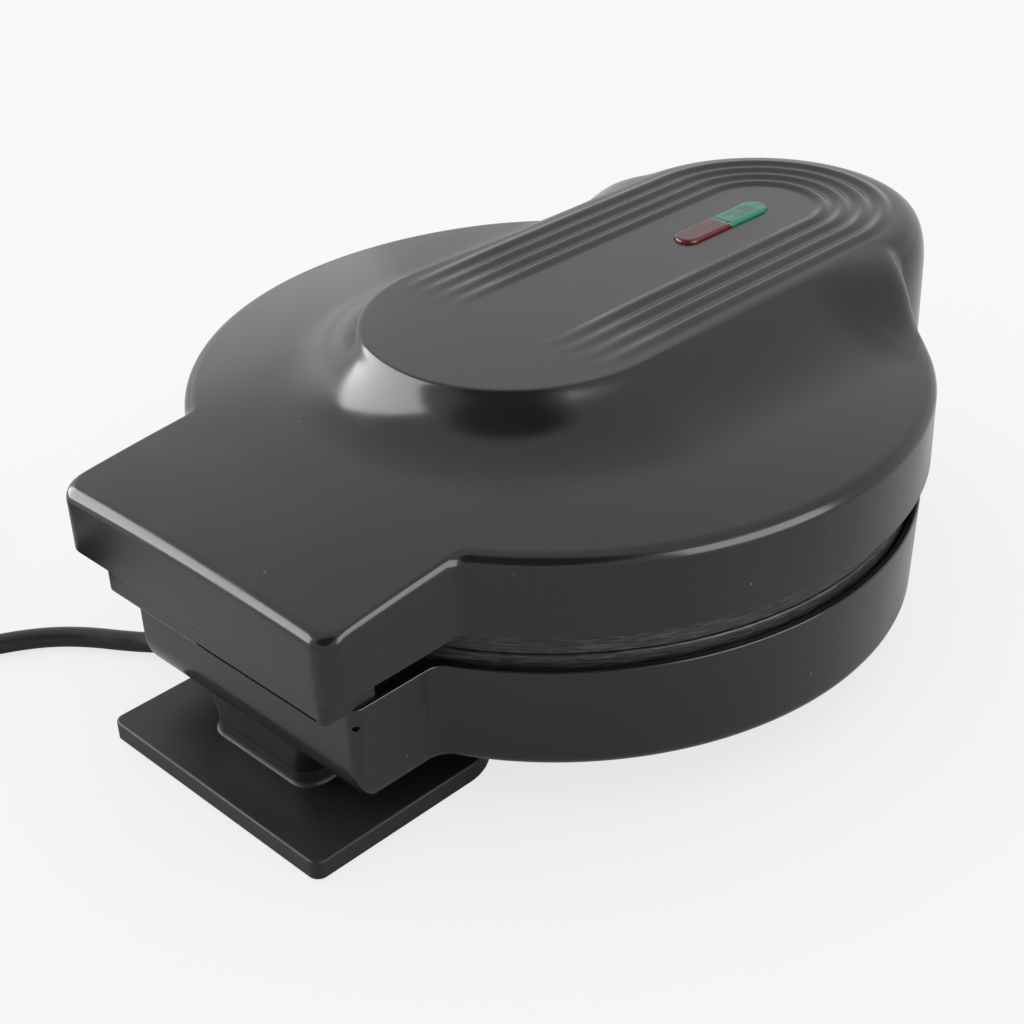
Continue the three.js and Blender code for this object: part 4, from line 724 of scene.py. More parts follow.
def lens_piece(name, sign):
    """One lens: flange, body and rounded crown."""
    seat = LENS.seat - GAP
    heights = [(LENS.flange, seat - LENS.depth), (LENS.flange, seat), (0, seat)]
    for sine, cosine in quarter(7):
        heights.append((-LENS.edge * (1 - cosine), LENS.top - LENS.edge * (1 - sine)))
    return mesh_piece(name, *stack([level(lens_plan(sign, grow), z) for grow, z in heights]))


for colour, sign in (("red", 1), ("green", -1)):
    settle(lens_piece(f"{colour}_lens_moulded", sign), [f"{colour}_lens"], f"{colour}_lens", "lid", 30)

# %% [markdown]
# ## Cooking plates
# Each plate is cast, then turned on a lathe, so a profile spun round its axis is the shape itself: a
# shallow dish with a flat rim, rounded edges and a short outer skirt. The upper plate is the same
# casting turned over about the seam.

# %%
def plate_profile():
    """Half section of the lower plate, from the axis underneath to the axis on top."""
    r, ease, small = PLATE.radius, PLATE.ease, PLATE.foot_ease
    inner = r - PLATE.rim
    floor_r = inner - PLATE.slope
    top = SEAM_Z - GAP / 2
    floor = top - PLATE.recess
    under = top - PLATE.thick
    skirt = r - PLATE.skirt_thick
    foot = top - PLATE.skirt
    section = [(0, floor - PLATE.thick), (floor_r + ease, floor - PLATE.thick), (inner + ease, under),
               (skirt, under), (skirt, foot), (r - small, foot), (r, foot + small)]
    section += arc(r - ease, top - ease, ease, 0, math.pi / 2, 6)
    section += arc(inner + ease, top - ease, ease, math.pi / 2, math.pi * 0.9, 5)
    section += [(floor_r + ease * 0.4, floor + ease * 1.6), (floor_r - ease * 0.4, floor + ease * 0.5)]
    return section + [(floor_r - ease * 2, floor), (0, floor)]


def cooking_plate(name, over):
    """A plate with its three studs, turned over about the seam for the lid."""
    back = SEAM_Z - GAP / 2 - PLATE.recess - PLATE.thick + GAP
    shapes = [turned(plate_profile(), 240)]
    for i in range(3):
        a = math.pi / 2 + 2 * math.pi * i / 3
        x, y = PLATE.stud_circle * math.cos(a), PLATE.stud_circle * math.sin(a)
        shapes.append(post(x, y, back - PLATE.stud_length, back, PLATE.stud, 16))
    vertices, faces = joined(*shapes)
    if over:
        vertices[:, 2] = 2 * SEAM_Z - vertices[:, 2]
    return mesh_piece(name, vertices, faces)


for word, body in (("lower", "base"), ("upper", "lid")):
    plate = cooking_plate(f"{word}_cooking_plate_turned", word == "upper")
    settle(plate, [f"{word}_cooking_plate"], "cast_plate", body)

# %% [markdown]
# ## Base shell
# The base is a round tub with a square rear block, a hinge trough that overhangs the block's rear, a
# neck down to the stand and two short legs in front. The tub and the trough are lofts. Booleans join
# them, as the real tool's cavities do, because these forms cross each other along plain lines.

# %%
def base_ring(z, inset=0.0, rear_inset=None):
    """The base's plan at height z, on its draft, moved in by inset."""
    share = (z - BASE.bottom) / (BASE.rim - BASE.bottom)
    move = inset - share * BASE.draft
    rear = BASE.rear - (inset if rear_inset is None else rear_inset)
    plan = outline(BASE.radius - move, BASE.block - move, rear, max(TROUGH.corner - move, GAP),
                   LID.fillet + move, BASE.nose, BASE.nose_radius - move, BASE.nose_fillet + move)
    return level(plan, z)


def tuck(rise):
    """How far the rear wall has turned in at a height above the bottom."""
    part = 1 - np.clip(rise / BASE.round, 0, 1)
    return BASE.tuck * (1 - math.sqrt(max(0, 1 - part * part)))


def tub_shape():
    """Tub with a rounded bottom edge, a rear that curls under, and a rounded rim."""
    f, w, e = BASE.fillet, BASE.wall, BASE.rim_round
    rings = []
    for sine, cosine in quarter(8):
        rise = f * (1 - cosine)
        rings.append(base_ring(BASE.bottom + rise, f * (1 - sine), tuck(rise)))
    for rise in np.linspace(f, BASE.round, 8)[1:]:
        rings.append(base_ring(BASE.bottom + rise, 0, tuck(rise)))
    rings += [base_ring(z) for z in np.linspace(BASE.bottom + BASE.round, BASE.rim - e, 5)[1:]]
    for sine, cosine in quarter(5)[1:]:
        rings.append(base_ring(BASE.rim - e * (1 - sine), e * (1 - cosine)))
    rings.append(base_ring(BASE.rim, w))
    rings.append(base_ring(BASE.bottom + BASE.round, w))
    for rise in (w + f * 1.2, w + f / 2, w):
        inset = w if rise > w else w + f / 2
        rings.append(base_ring(BASE.bottom + rise, inset, w + tuck(rise)))
    return loft(rings)


def trough_piece():
    """Open trough for the lid's ears, with a web either side of each ear and bores for the pins."""
    w, lip, over = TROUGH.wall, TROUGH.lip, 2

    def ring(inset, z):
        corner = TROUGH.corner - inset
        return level(rounded_plan(BASE.block - inset, TROUGH.front, TROUGH.rear - inset, corner, w / 4), z)

    rings = [ring(lip * (1 - sine), TROUGH.bottom + lip * (1 - cosine)) for sine, cosine in quarter(6)]
    rings += [ring(0, TROUGH.cheek_top - TROUGH.ease), ring(TROUGH.ease, TROUGH.cheek_top)]
    piece = mesh_piece("trough", *loft(rings))
    cheek = BASE.block - w
    room = rounded_plan(cheek, TROUGH.front + w, TROUGH.rear - w, TROUGH.corner - w, w / 4)
    high = TROUGH.cheek_top + over
    carve(piece, "DIFFERENCE", prism(room, TROUGH.bottom + w, high))
    wide = cheek - GAP
    carve(piece, "DIFFERENCE", brick(-wide, wide, HINGE.y, TROUGH.rear + over, TROUGH.rear_top, high))
    carve(piece, "DIFFERENCE", brick(-wide, wide, TROUGH.front - over, HINGE.y, TROUGH.front_top, high))
    webs = [brick(side * HINGE.web_in, side * HINGE.web_out, TROUGH.front + w - GAP, TROUGH.rear - w + GAP,
                  TROUGH.bottom + w / 2, TROUGH.rear_top) for side in (-1, 1)]
    carve(piece, "UNION", *webs)
    carve(piece, "DIFFERENCE", *pin_bores(HINGE.web_in - 2, cheek + w * 0.6))
    seam_z = TROUGH.bottom + lip
    carve(piece, "DIFFERENCE", brick(SEAM.left, SEAM.right, TROUGH.rear - SEAM.deep, TROUGH.rear + 1,
                                     seam_z - SEAM.below, seam_z + SEAM.above))
    return piece


def neck_plan(grow, rear_grow=0):
    """Plan of the neck, grown on its sides and front, and at its rear where asked."""
    return rounded_plan(STAND.neck_half + grow, STAND.neck_front - grow, STAND.neck_rear + rear_grow,
                        STAND.neck_corner, steps=12)


def neck_piece(floor):
    """Upper half of the neck, flaring smoothly into the tub's bottom, and level with its floor in front."""
    low = STAND.split + GAP
    high = BASE.bottom + BASE.wall / 2
    rings = [level(neck_plan(STAND.flare * t * t), blended(low, high, t)) for t in np.linspace(0, 1, 8)]
    rings.append(level(neck_plan(STAND.flare), high + BASE.tuck / 2))
    piece = mesh_piece("neck", *loft(rings))
    wide, over, behind = 66, 20, STAND.neck_rear - STAND.neck_corner
    carve(piece, "DIFFERENCE", brick(-wide, wide, 0, behind, floor, floor + over))
    return piece


def leg_shape(side):
    """Front leg: a short tapered post with a recess for its rubber pad."""
    foot = LEG.pad - LEG.ledge
    top = BASE.bottom + BASE.wall / 2
    hole = LEG.bottom - LEG.inset
    profile = [(0, LEG.pad), (hole, LEG.pad), (hole, foot), (LEG.bottom - LEG.ease, foot),
               (LEG.bottom, foot + LEG.ease), (LEG.top - LEG.taper, top - LEG.collar), (LEG.top, top - 1),
               (LEG.top, top), (0, top)]
    return turned(profile, 64, side * LEG.x, LEG.y)


screw_places = [(x, y) for x in (-STAND.screw_x, STAND.screw_x)
                for y in (STAND.screw_front, STAND.screw_rear)]


def holes_at(places, low, high, radius=BOSS.hole):
    """Upright screw holes."""
    return [post(x, y, low, high, radius, 20) for x, y in places]


def cut_relief(piece):
    """Cuts the bore for the strain relief's neck, and the pocket for its flange."""
    wall_in = STAND.neck_half - STAND.wall
    bore = (wall_in - 2, STAND.neck_half + 4, RELIEF.root - RELIEF.grip)
    for start, end, radius in (bore, (wall_in - 12, wall_in, RELIEF.root)):
        carve(piece, "DIFFERENCE", rod(start, end, RELIEF.y, STAND.split, radius + GAP))


def base_shell():
    """The whole base as one solid."""
    piece = mesh_piece("base_shell_moulded", *tub_shape())
    carve(piece, "UNION", taken(trough_piece()))
    floor = BASE.bottom + BASE.wall
    carve(piece, "UNION", taken(neck_piece(floor)), leg_shape(-1), leg_shape(1))
    wall = STAND.wall
    hollow = rounded_plan(STAND.neck_half - wall, STAND.neck_front + wall, STAND.neck_rear - wall,
                          STAND.neck_corner - wall)
    carve(piece, "DIFFERENCE", prism(hollow, 0, floor + BASE.wall * 4))
    seat = STAND.split + GAP
    pillar_top = shield_z - GAP
    pillars = [post(x, y, BASE.bottom + 1, pillar_top, BOSS.radius) for x, y in FIXINGS]
    columns = [post(x, y, seat, floor + BASE.wall, BOSS.radius) for x, y in screw_places]
    carve(piece, "UNION", *pillars, *columns)
    ribs = [brick(x, math.copysign(STAND.neck_half - 1, x), y - BOSS.rib, y + BOSS.rib, seat, floor)
            for x, y in screw_places]
    carve(piece, "UNION", *ribs)
    holes = holes_at(screw_places, seat - 1, seat + BOSS.depth)
    holes += holes_at(FIXINGS, pillar_top - BOSS.depth - 2, pillar_top + 2)
    carve(piece, "DIFFERENCE", *holes)
    cut_relief(piece)
    side = -BASE.block
    carve(piece, "DIFFERENCE", rod(side - 4, side + SEAM.dent_deep, BASE.rear - SEAM.dent_in,
                                   TROUGH.bottom - SEAM.dent_drop, SEAM.dent))
    return piece


settle(base_shell(), ["base_shell"], "gloss_body", "base", 30)

# %% [markdown]
# ## Foot stand
# A flat satin foot under the rear carries the appliance when it is stored on end, and its neck takes
# the wound cord. One loft runs from inside the neck, round the foot's skirt and rounded edge, and up
# the concave flare. Rays through the corners of both plans keep every corner crisp.

# %%
def foot_plan(inset):
    """The foot's plan, its edge moved in."""
    front, rear = STAND.front_corner, STAND.rear_corner
    right = arc(STAND.half - front, STAND.front + front, front - inset, -math.pi / 2, 0, 24)
    return mirrored(right + arc(STAND.half - rear, STAND.rear - rear, rear - inset, 0, math.pi / 2, 12))


def stand_rays():
    """Rays from the neck's middle through the corners of both plans, in order."""
    middle = (STAND.neck_front + STAND.neck_rear) / 2
    points = np.array(foot_plan(0) + neck_plan(0))
    turn = np.unique(np.round(np.arctan2(points[:, 1] - middle, points[:, 0]), 6))
    feet = np.column_stack([np.zeros(len(turn)), np.full(len(turn), middle)])
    return feet, np.column_stack([np.cos(turn), np.sin(turn)])


def pad_places():
    """Centres of the four pads under the stand."""
    front = STAND.front + PAD.front
    rear = STAND.rear - PAD.rear
    return [(side * (STAND.half - inset), y) for side in (-1, 1)
            for inset, y in ((PAD.front, front), (PAD.side, rear))]


def foot_stand():
    """Foot, skirt, flare and the lower half of the neck as one solid."""
    rays = stand_rays()
    top, wall, edge, blend = STAND.top, STAND.wall, STAND.edge, STAND.blend
    under, ease, split = STAND.under, STAND.ease, STAND.split
    inside = [(x, min(y, STAND.neck_rear - wall)) for x, y in neck_plan(-wall)]
    plans = [(inside, split - wall), (inside, top - wall), (foot_plan(wall), top - wall),
             (foot_plan(wall), under), (foot_plan(ease), under), (foot_plan(0), under + ease)]
    plans += [(foot_plan(edge * (1 - cosine)), top - edge * (1 - sine)) for sine, cosine in quarter(7)]
    for sine, cosine in quarter(10):
        grow = blend * (1 - sine)
        plans.append((neck_plan(grow, grow), top + STAND.blend_rise * blend * (1 - cosine)))
    plans.append((neck_plan(0), split))
    rings = [on_ray(rays, reach(rays, np.array(plan)), z) for plan, z in plans]
    piece = mesh_piece("foot_stand_moulded", *loft(rings))
    spots = pad_places()
    seats = [post(x, y, PAD.height - PAD.peg / 2, top - wall / 2, PAD.radius) for x, y in spots]
    carve(piece, "UNION", *seats)
    pegs = [post(x, y, 0, PAD.height + PAD.peg, PAD.peg_radius + GAP) for x, y in spots]
    screws = holes_at(screw_places, top - 2, split + 2, BOSS.hole + GAP)
    lead = post(0, RELIEF.y, top - wall - 1, split + 2, BOSS.radius * 2)
    carve(piece, "DIFFERENCE", lead, *pegs, *screws)
    cut_relief(piece)
    return piece


settle(foot_stand(), ["foot_stand"], "satin_body", "base", 30)

# %% [markdown]
# ## Rubber feet
# Six small pads are turned from one profile each: a slight taper, eased edges and, under the stand, a
# peg that plugs into the seat above.

# %%
def pad_sides(r, high, sole):
    """Half section of a pad up to its top edge. The sole's two insets and its rise come together."""
    inset, edge, rise = sole
    side = [(r - edge, rise), (r - PAD.taper, high - PAD.ease_drop)]
    return [(0, 0), (r - inset, 0), *side, (r - PAD.ease, high)]


def stand_pad(name, x, y):
    """Pad under a corner of the stand."""
    seat = PAD.height - PAD.peg / 2 - GAP
    high = PAD.height + PAD.peg - GAP
    peg = [(PAD.peg_radius, seat), (PAD.peg_radius, high), (0, high)]
    return mesh_piece(name, *turned(pad_sides(PAD.radius, seat, PAD.sole) + peg, 40, x, y))


def front_pad(name, side):
    """Pad in the recess of a front leg."""
    r = LEG.bottom - LEG.inset - GAP
    high = LEG.pad - GAP
    profile = pad_sides(r, high, PAD.front_sole) + [(0, high)]
    return mesh_piece(name, *turned(profile, 48, side * LEG.x, LEG.y))


for number, (x, y) in enumerate(pad_places(), 1):
    settle(stand_pad(f"stand_foot_{number}", x, y), [f"stand_pad_{number}"], "rubber", "base")
for word, side in (("left", -1), ("right", 1)):
    settle(front_pad(f"front_foot_{word}", side), [f"front_pad_{word}"], "rubber", "base")

# %% [markdown]
# ## Strain relief and inner lead
# The relief is a tapered rubber sleeve. Grooves round it let it bend little by little, so it is turned
# from a wavy profile and laid along X. Inside the base the lead runs on to the terminal block, under
# the plates, as a smooth tube along the solid's own points.

# %%
def relief_profile():
    """Half section of the relief, from its inner end to its tip, as (radius, distance along X)."""
    root, big, ease = STAND.neck_half, RELIEF.root, RELIEF.ease
    inner = root - STAND.wall - GAP
    neck = big - RELIEF.grip
    flange = root + STAND.flare
    collar = flange + RELIEF.collar
    tip = root + RELIEF.length
    profile = [(0, inner - RELIEF.collar), (big, inner - RELIEF.collar), (big, inner), (neck, inner),
               (neck, flange), (big - ease, flange), (big, flange + ease), (big, collar - ease),
               (big - ease, collar)]
    for t in np.linspace(0, 1, 61)[1:]:
        wave = RELIEF.groove * (1 - math.cos(2 * math.pi * RELIEF.grooves * t)) / 2 if t < 1 else 0
        profile.append((blended(big - ease, RELIEF.tip, t) - wave, blended(collar, tip - ease, t)))
    return profile + [(RELIEF.tip - ease, tip), (0, tip)]


relief = mesh_piece("strain_relief_grooved", *along_x(turned(relief_profile(), 64), RELIEF.y, STAND.split))
settle(relief, ["strain_relief"], "rubber", "base", 50)
terminal_z = BASE.bottom + BASE.wall + 6
LEAD = [
    (STAND.neck_half - STAND.wall - RELIEF.collar - 2 * GAP, RELIEF.y, STAND.split),
    (15.3, RELIEF.y, STAND.split),
    (0, RELIEF.y, STAND.split + CORD.radius),
    (-18.36, RELIEF.y, terminal_z - CORD.radius / 3),
    (-36.72, RELIEF.y - CORD.radius / 3, terminal_z),
    (-50.6, RELIEF.y - 2 * CORD.radius, terminal_z),
    (-50.6, 128.4, terminal_z),
]
inner_lead = tube_piece("supply_lead_run", place(through(LEAD, 8)), (CORD.radius - GAP) * MM)
settle(inner_lead, ["supply_lead"], "rubber", "base")

# %% [markdown]
# ## Cord tie
# A soft strap holds both layers of the coil. Six rounded rectangles, two small and four large, loft
# into one closed band with eased edges.

# %%
def tie_frame(grow, steps=8):
    """Rounded rectangle round both layers, as (outward, height) pairs."""
    reach_z = CORD.radius + GAP
    half = reach_z + GAP + grow
    corner = CORD.radius
    low = coil_z - reach_z - grow + corner
    high = coil_z + CORD.rise + reach_z + grow - corner
    points = []
    for number, (out, z) in enumerate(((1, low), (1, high), (-1, high), (-1, low))):
        start = (number - 1) * math.pi / 2
        points += arc(out * (half - corner), z, corner, start, start + math.pi / 2, steps)
    return points


def cord_tie():
    """The strap, set across the cord at its place on the coil."""
    turns = (COIL.start - COIL.tie + 360) / 360
    middle = COIL.radius - CORD.pitch * turns
    angle = math.radians(COIL.tie)
    outward = np.array([math.cos(angle), math.sin(angle)])
    along = np.array([-math.sin(angle), math.cos(angle)])
    grown, half, ease = TIE.thick - GAP, TIE.width / 2, TIE.ease
    rings = []
    for grow, step in ((0, -half), (grown - ease, -half), (grown, ease - half), (grown, half - ease),
                       (grown - ease, half), (0, half)):
        frame_points = np.array(tie_frame(grow))
        plan = (COIL.x, COIL.y) + (np.outer(middle + frame_points[:, 0], outward) + along * step)
        rings.append(np.column_stack([plan, frame_points[:, 1]]))
    return mesh_piece("cord_tie_strap", *loft(rings, closed=True))


tie = cord_tie()
settle(tie, ["cord_tie"], "rubber", "base")

# %% [markdown]
# ## Plug
# The moulded plug lies on the table by the coil. Rounded sections loft from the cord, through a
# grooved neck, into the body, whose sides hollow a little for the fingers. Its blades and earth pin
# stay the frame's own solids and get a metal finish.

# %%
def section(half, low, high, corner, steps=8):
    """Rounded rectangle across the plug, as (sideways, height) pairs."""
    return rounded_plan(half, low, high, min(corner, half * 0.98, (high - low) * 0.49), steps=steps)


def plug_sections():
    """(distance along, section) from the cord's end to the plug's face."""
    sole = coil_z + CORD.rise - CORD.lift
    wide, high = PLUG.width / 2, PLUG.height / 2
    neck, corner, face = PLUG.neck_radius, PLUG.corner, PLUG.face
    made = []
    for t in np.linspace(0, 1, 25):
        wave = PLUG.groove * (1 - math.cos(2 * math.pi * PLUG.grooves * t)) / 2
        r = blended(CORD.radius + PLUG.wall, neck, t) - wave
        made.append((PLUG.neck * t, section(r, -r, r, r)))
    shoulder = corner * 2
    for t in np.linspace(0, 1, 13)[1:]:
        swell = smoothstep(t, 0, 1)
        half, low, top = (blended(neck, end, swell) for end in (wide, sole, high))
        swollen = section(half, -low, top, blended(PLUG.neck_corner, corner, t))
        made.append((PLUG.neck + shoulder * t, swollen))
    run = PLUG.length - shoulder - face
    for t in np.linspace(0, 1, 13)[1:-1]:
        waist = PLUG.waist * math.sin(math.pi * t) ** 2
        made.append((PLUG.neck + shoulder + run * t, section(wide - waist, -sole, high, corner)))
    for sine, cosine in quarter(5):
        ease = face * (1 - cosine)
        rounded = section(wide - ease, ease - sole, high - ease, corner)
        made.append((PLUG.neck + PLUG.length - face * (1 - sine), rounded))
    return made


def plug_piece():
    """The plug's body with pockets for the blades and the earth pin, lying in line with the cord's end."""
    way = straight_end(wound) / (2 * CORD.radius)
    start = cord_end + way * GAP
    axes = np.array([way, [-way[1], way[0], 0], [0, 0, 1]])

    def lay(shape):
        return start + shape[0] @ axes, shape[1]

    rings = [np.array([(x, across, z) for across, z in plan]) for x, plan in plug_sections()]
    piece = mesh_piece("plug_body_moulded", *lay(loft(rings)))
    face = PLUG.neck + PLUG.length
    deep, out = face - BLADE.sink - GAP, face + 2
    half, aside = BLADE.thick / 2 + GAP, BLADE.spacing / 2
    low, high = BLADE.drop - BLADE.width - GAP, BLADE.drop + GAP
    pockets = [brick(deep, out, y - half, y + half, low, high) for y in (-aside, aside)]
    pockets.append(rod(deep, out, 0, -BLADE.drop, BLADE.earth + GAP))
    carve(piece, "DIFFERENCE", *(lay(pocket) for pocket in pockets))
    return piece


plug = plug_piece()
settle(plug, ["plug_body"], "rubber", "base", 40)

# %% [markdown]
# ## Shared effects
# Plastic, rubber and metal share a few effects: moulding grain, smudges, dust specks, and fine lines
# from turning or brushing. Each is a node group, built once, that takes a position in metres and
# gives a mask or a height, so every material can use it at its own scale.

# %%
def feed(tree, value, socket):
    """Links a socket to an input, or gives the input a plain number, vector or colour."""
    if isinstance(value, bpy.types.NodeSocket):
        tree.links.new(value, socket)
    elif socket.type == "RGBA":
        socket.default_value = (*value, 1)
    else:
        socket.default_value = value


def add_node(tree, kind, inputs, **settings):
    """Node of a kind with its own settings, such as an operation, and its inputs fed."""
    node = tree.nodes.new("ShaderNode" + kind)
    for key, value in settings.items():
        setattr(node, key, value)
    for key, value in inputs.items():
        feed(tree, value, node.inputs[key])
    return node


def calculate(tree, operation, *values):
    """Math node on sockets or plain numbers: its output socket."""
    return add_node(tree, "Math", dict(enumerate(values)), operation=operation).outputs[0]


def times(tree, a, b):
    """Product of sockets or plain numbers."""
    return calculate(tree, "MULTIPLY", a, b)


def spread_out(tree, value, low, high, to_low=0.0, to_high=1.0):
    """Map Range node with a smooth ramp: its output socket."""
    inputs = {"Value": value, "From Min": low, "From Max": high, "To Min": to_low, "To Max": to_high}
    return add_node(tree, "MapRange", inputs, interpolation_type="SMOOTHSTEP").outputs["Result"]


def noise(tree, at, scale, detail):
    """Noise texture: its output socket."""
    return add_node(tree, "TexNoise", {"Vector": at, "Scale": scale, "Detail": detail}).outputs["Fac"]


def effect_group(build, output, **inputs):
    """Node group of a build function: a position and numbers with defaults in, one number out."""
    group = bpy.data.node_groups.new(build.__name__, "ShaderNodeTree")
    group.interface.new_socket(name="Position", in_out="INPUT", socket_type="NodeSocketVector")
    for label, value in inputs.items():
        socket = group.interface.new_socket(name=label, in_out="INPUT", socket_type="NodeSocketFloat")
        socket.default_value = value
    group.interface.new_socket(name=output, in_out="OUTPUT", socket_type="NodeSocketFloat")
    source = group.nodes.new("NodeGroupInput").outputs
    made = build(group, *(source[label] for label in ("Position", *inputs)))
    group.links.new(made, group.nodes.new("NodeGroupOutput").inputs[output])
    return group


def moulding_grain(group, at, scale):
    """Fine grain of a moulded surface on top of slow waves."""
    return calculate(group, "ADD", noise(group, at, scale, 2), noise(group, at, 9, 1))


def smudges(group, at, scale):
    """Cloudy patches, where hands and cloths have dulled the gloss."""
    return spread_out(group, noise(group, at, scale, 5), 0.42, 0.68)


def dust_specks(group, at, scale, share, size):
    """Sparse round specks: a few cells of a Voronoi pattern, each with a small dot in it."""
    cells = add_node(group, "TexVoronoi", {"Vector": at, "Scale": scale})
    parts = add_node(group, "SeparateColor", {"Color": cells.outputs["Color"]})
    chosen = calculate(group, "LESS_THAN", parts.outputs["Red"], share)
    small = times(group, parts.outputs["Green"], size)
    return times(group, chosen, calculate(group, "LESS_THAN", cells.outputs["Distance"], small))


def fine_lines(group, at, length, fineness, turned_round):
    """Lines that run round the upright axis, or along X where Round is 0."""
    x, y, z = add_node(group, "SeparateXYZ", {"Vector": at}).outputs
    across = calculate(group, "SQRT", calculate(group, "MULTIPLY_ADD", x, x, times(group, y, y)))
    turn = times(group, calculate(group, "ARCTAN2", y, x), 0.15)
    straight = calculate(group, "SUBTRACT", 1, turned_round)
    along = calculate(group, "MULTIPLY_ADD", turn, turned_round, times(group, x, straight))
    aside = calculate(group, "MULTIPLY_ADD", across, turned_round, times(group, y, straight))
    scales = ((along, length), (aside, fineness), (z, fineness))
    scaled = add_node(group, "CombineXYZ", {i: times(group, *pair) for i, pair in enumerate(scales)})
    streaks = noise(group, scaled.outputs["Vector"], 1, 2)
    return spread_out(group, streaks, 0.35, 0.72)


GRAIN = effect_group(moulding_grain, "Height", Scale=900)
SMUDGES = effect_group(smudges, "Mask", Scale=14)
DUST = effect_group(dust_specks, "Mask", Scale=240, Share=0.05, Size=0.12)
LINES = effect_group(fine_lines, "Mask", Length=40, Fineness=1600, Round=1)
print("effects:", [group.name for group in (GRAIN, SMUDGES, DUST, LINES)])

# %% [markdown]
# ## Materials
# Each material keeps its own Principled shader. The groups feed only what changes over the surface:
# colour, roughness and the height of a bump. Everything that is the same all over is set on the
# shader itself.

# %%
SMUDGED = 1.25
DUST_ROUGH = 0.3
TARNISHED = 0.6
TARNISH_SHARE = 0.35


def start_material(name, **constants):
    """Material, its tree and its shader's inputs, with the constants set."""
    material = bpy.data.materials.new(name)
    material.use_nodes = True
    tree = material.node_tree
    shader = tree.nodes["Principled BSDF"].inputs
    for label, value in constants.items():
        shader[label.replace("_", " ")].default_value = value
    return material, tree, shader


def position(tree):
    """Socket of the place on the object, in metres."""
    return add_node(tree, "TexCoord", {}).outputs["Object"]


def effect(tree, group, at, **values):
    """A group placed in a material with its values: its output socket."""
    return add_node(tree, "Group", {"Position": at, **values}, node_tree=group).outputs[0]


def mixed(tree, mask, low, high):
    """Mix of two colours by a mask. Inputs 6 and 7 and output 2 of the node are its colours."""
    return add_node(tree, "Mix", {0: mask, 6: low, 7: high}, data_type="RGBA").outputs[2]


def raise_bumps(tree, shader, height, depth, strength):
    """Bump node from a height, depth in metres."""
    bump = add_node(tree, "Bump", {"Strength": strength, "Distance": depth, "Height": height})
    feed(tree, bump.outputs["Normal"], shader["Normal"])


def plastic(name, colour, dusty, roughness, grain, depth, dust_share, ior=1.47):
    """Moulded plastic or rubber: grain, smudges and a little dust."""
    material, tree, shader = start_material(name, IOR=ior)
    at = position(tree)
    dust = effect(tree, DUST, at, Share=dust_share)
    smudge = effect(tree, SMUDGES, at)
    tone = mixed(tree, smudge, colour, [c * SMUDGED for c in colour])
    feed(tree, mixed(tree, dust, tone, dusty), shader["Base Color"])
    dull = spread_out(tree, smudge, 0, 1, *roughness)
    feed(tree, calculate(tree, "MULTIPLY_ADD", dust, DUST_ROUGH, dull), shader["Roughness"])
    raise_bumps(tree, shader, effect(tree, GRAIN, at, Scale=grain), depth, 0.6)
    return material


def metal(name, colour, worn, metallic, roughness, length, fineness, turned_round, depth):
    """Turned or brushed metal: fine lines and tarnish."""
    material, tree, shader = start_material(name, Metallic=metallic)
    at = position(tree)
    lines = effect(tree, LINES, at, Length=length, Fineness=fineness, Round=turned_round)
    smudge = effect(tree, SMUDGES, at, Scale=30)
    tone = mixed(tree, lines, colour, worn)
    tarnish = mixed(tree, times(tree, smudge, TARNISH_SHARE), tone, [c * TARNISHED for c in colour])
    feed(tree, tarnish, shader["Base Color"])
    feed(tree, spread_out(tree, smudge, 0, 1, *roughness), shader["Roughness"])
    raise_bumps(tree, shader, lines, depth, 0.5)
    return material


def clear_plastic(name, core, rim):
    """Coloured clear plastic with a painted glow: its rim is painted in a brighter colour than its middle.
    """
    material, tree, shader = start_material(name, Roughness=0.07, IOR=1.49)
    at = position(tree)
    parts = add_node(tree, "SeparateXYZ", {"Vector": at}).outputs
    aside = calculate(tree, "ABSOLUTE", parts["X"])
    # Painted glow: near the sides and below the crown the colour turns to the brighter rim colour, which
    # stands in for light caught in the rim.
    edge = spread_out(tree, aside, LENS.glow_from * MM, LENS.width / 2 * MM)
    lower = spread_out(tree, parts["Z"], (LENS.top - LENS.glow_deep) * MM, LENS.top * MM, 1, 0)
    painted_glow = calculate(tree, "MAXIMUM", times(tree, edge, 0.5), lower)
    tone = mixed(tree, times(tree, effect(tree, SMUDGES, at, Scale=160), 0.3), core, rim)
    feed(tree, mixed(tree, painted_glow, tone, rim), shader["Base Color"])
    raise_bumps(tree, shader, effect(tree, GRAIN, at, Scale=500), 1e-5, 0.4)
    return material


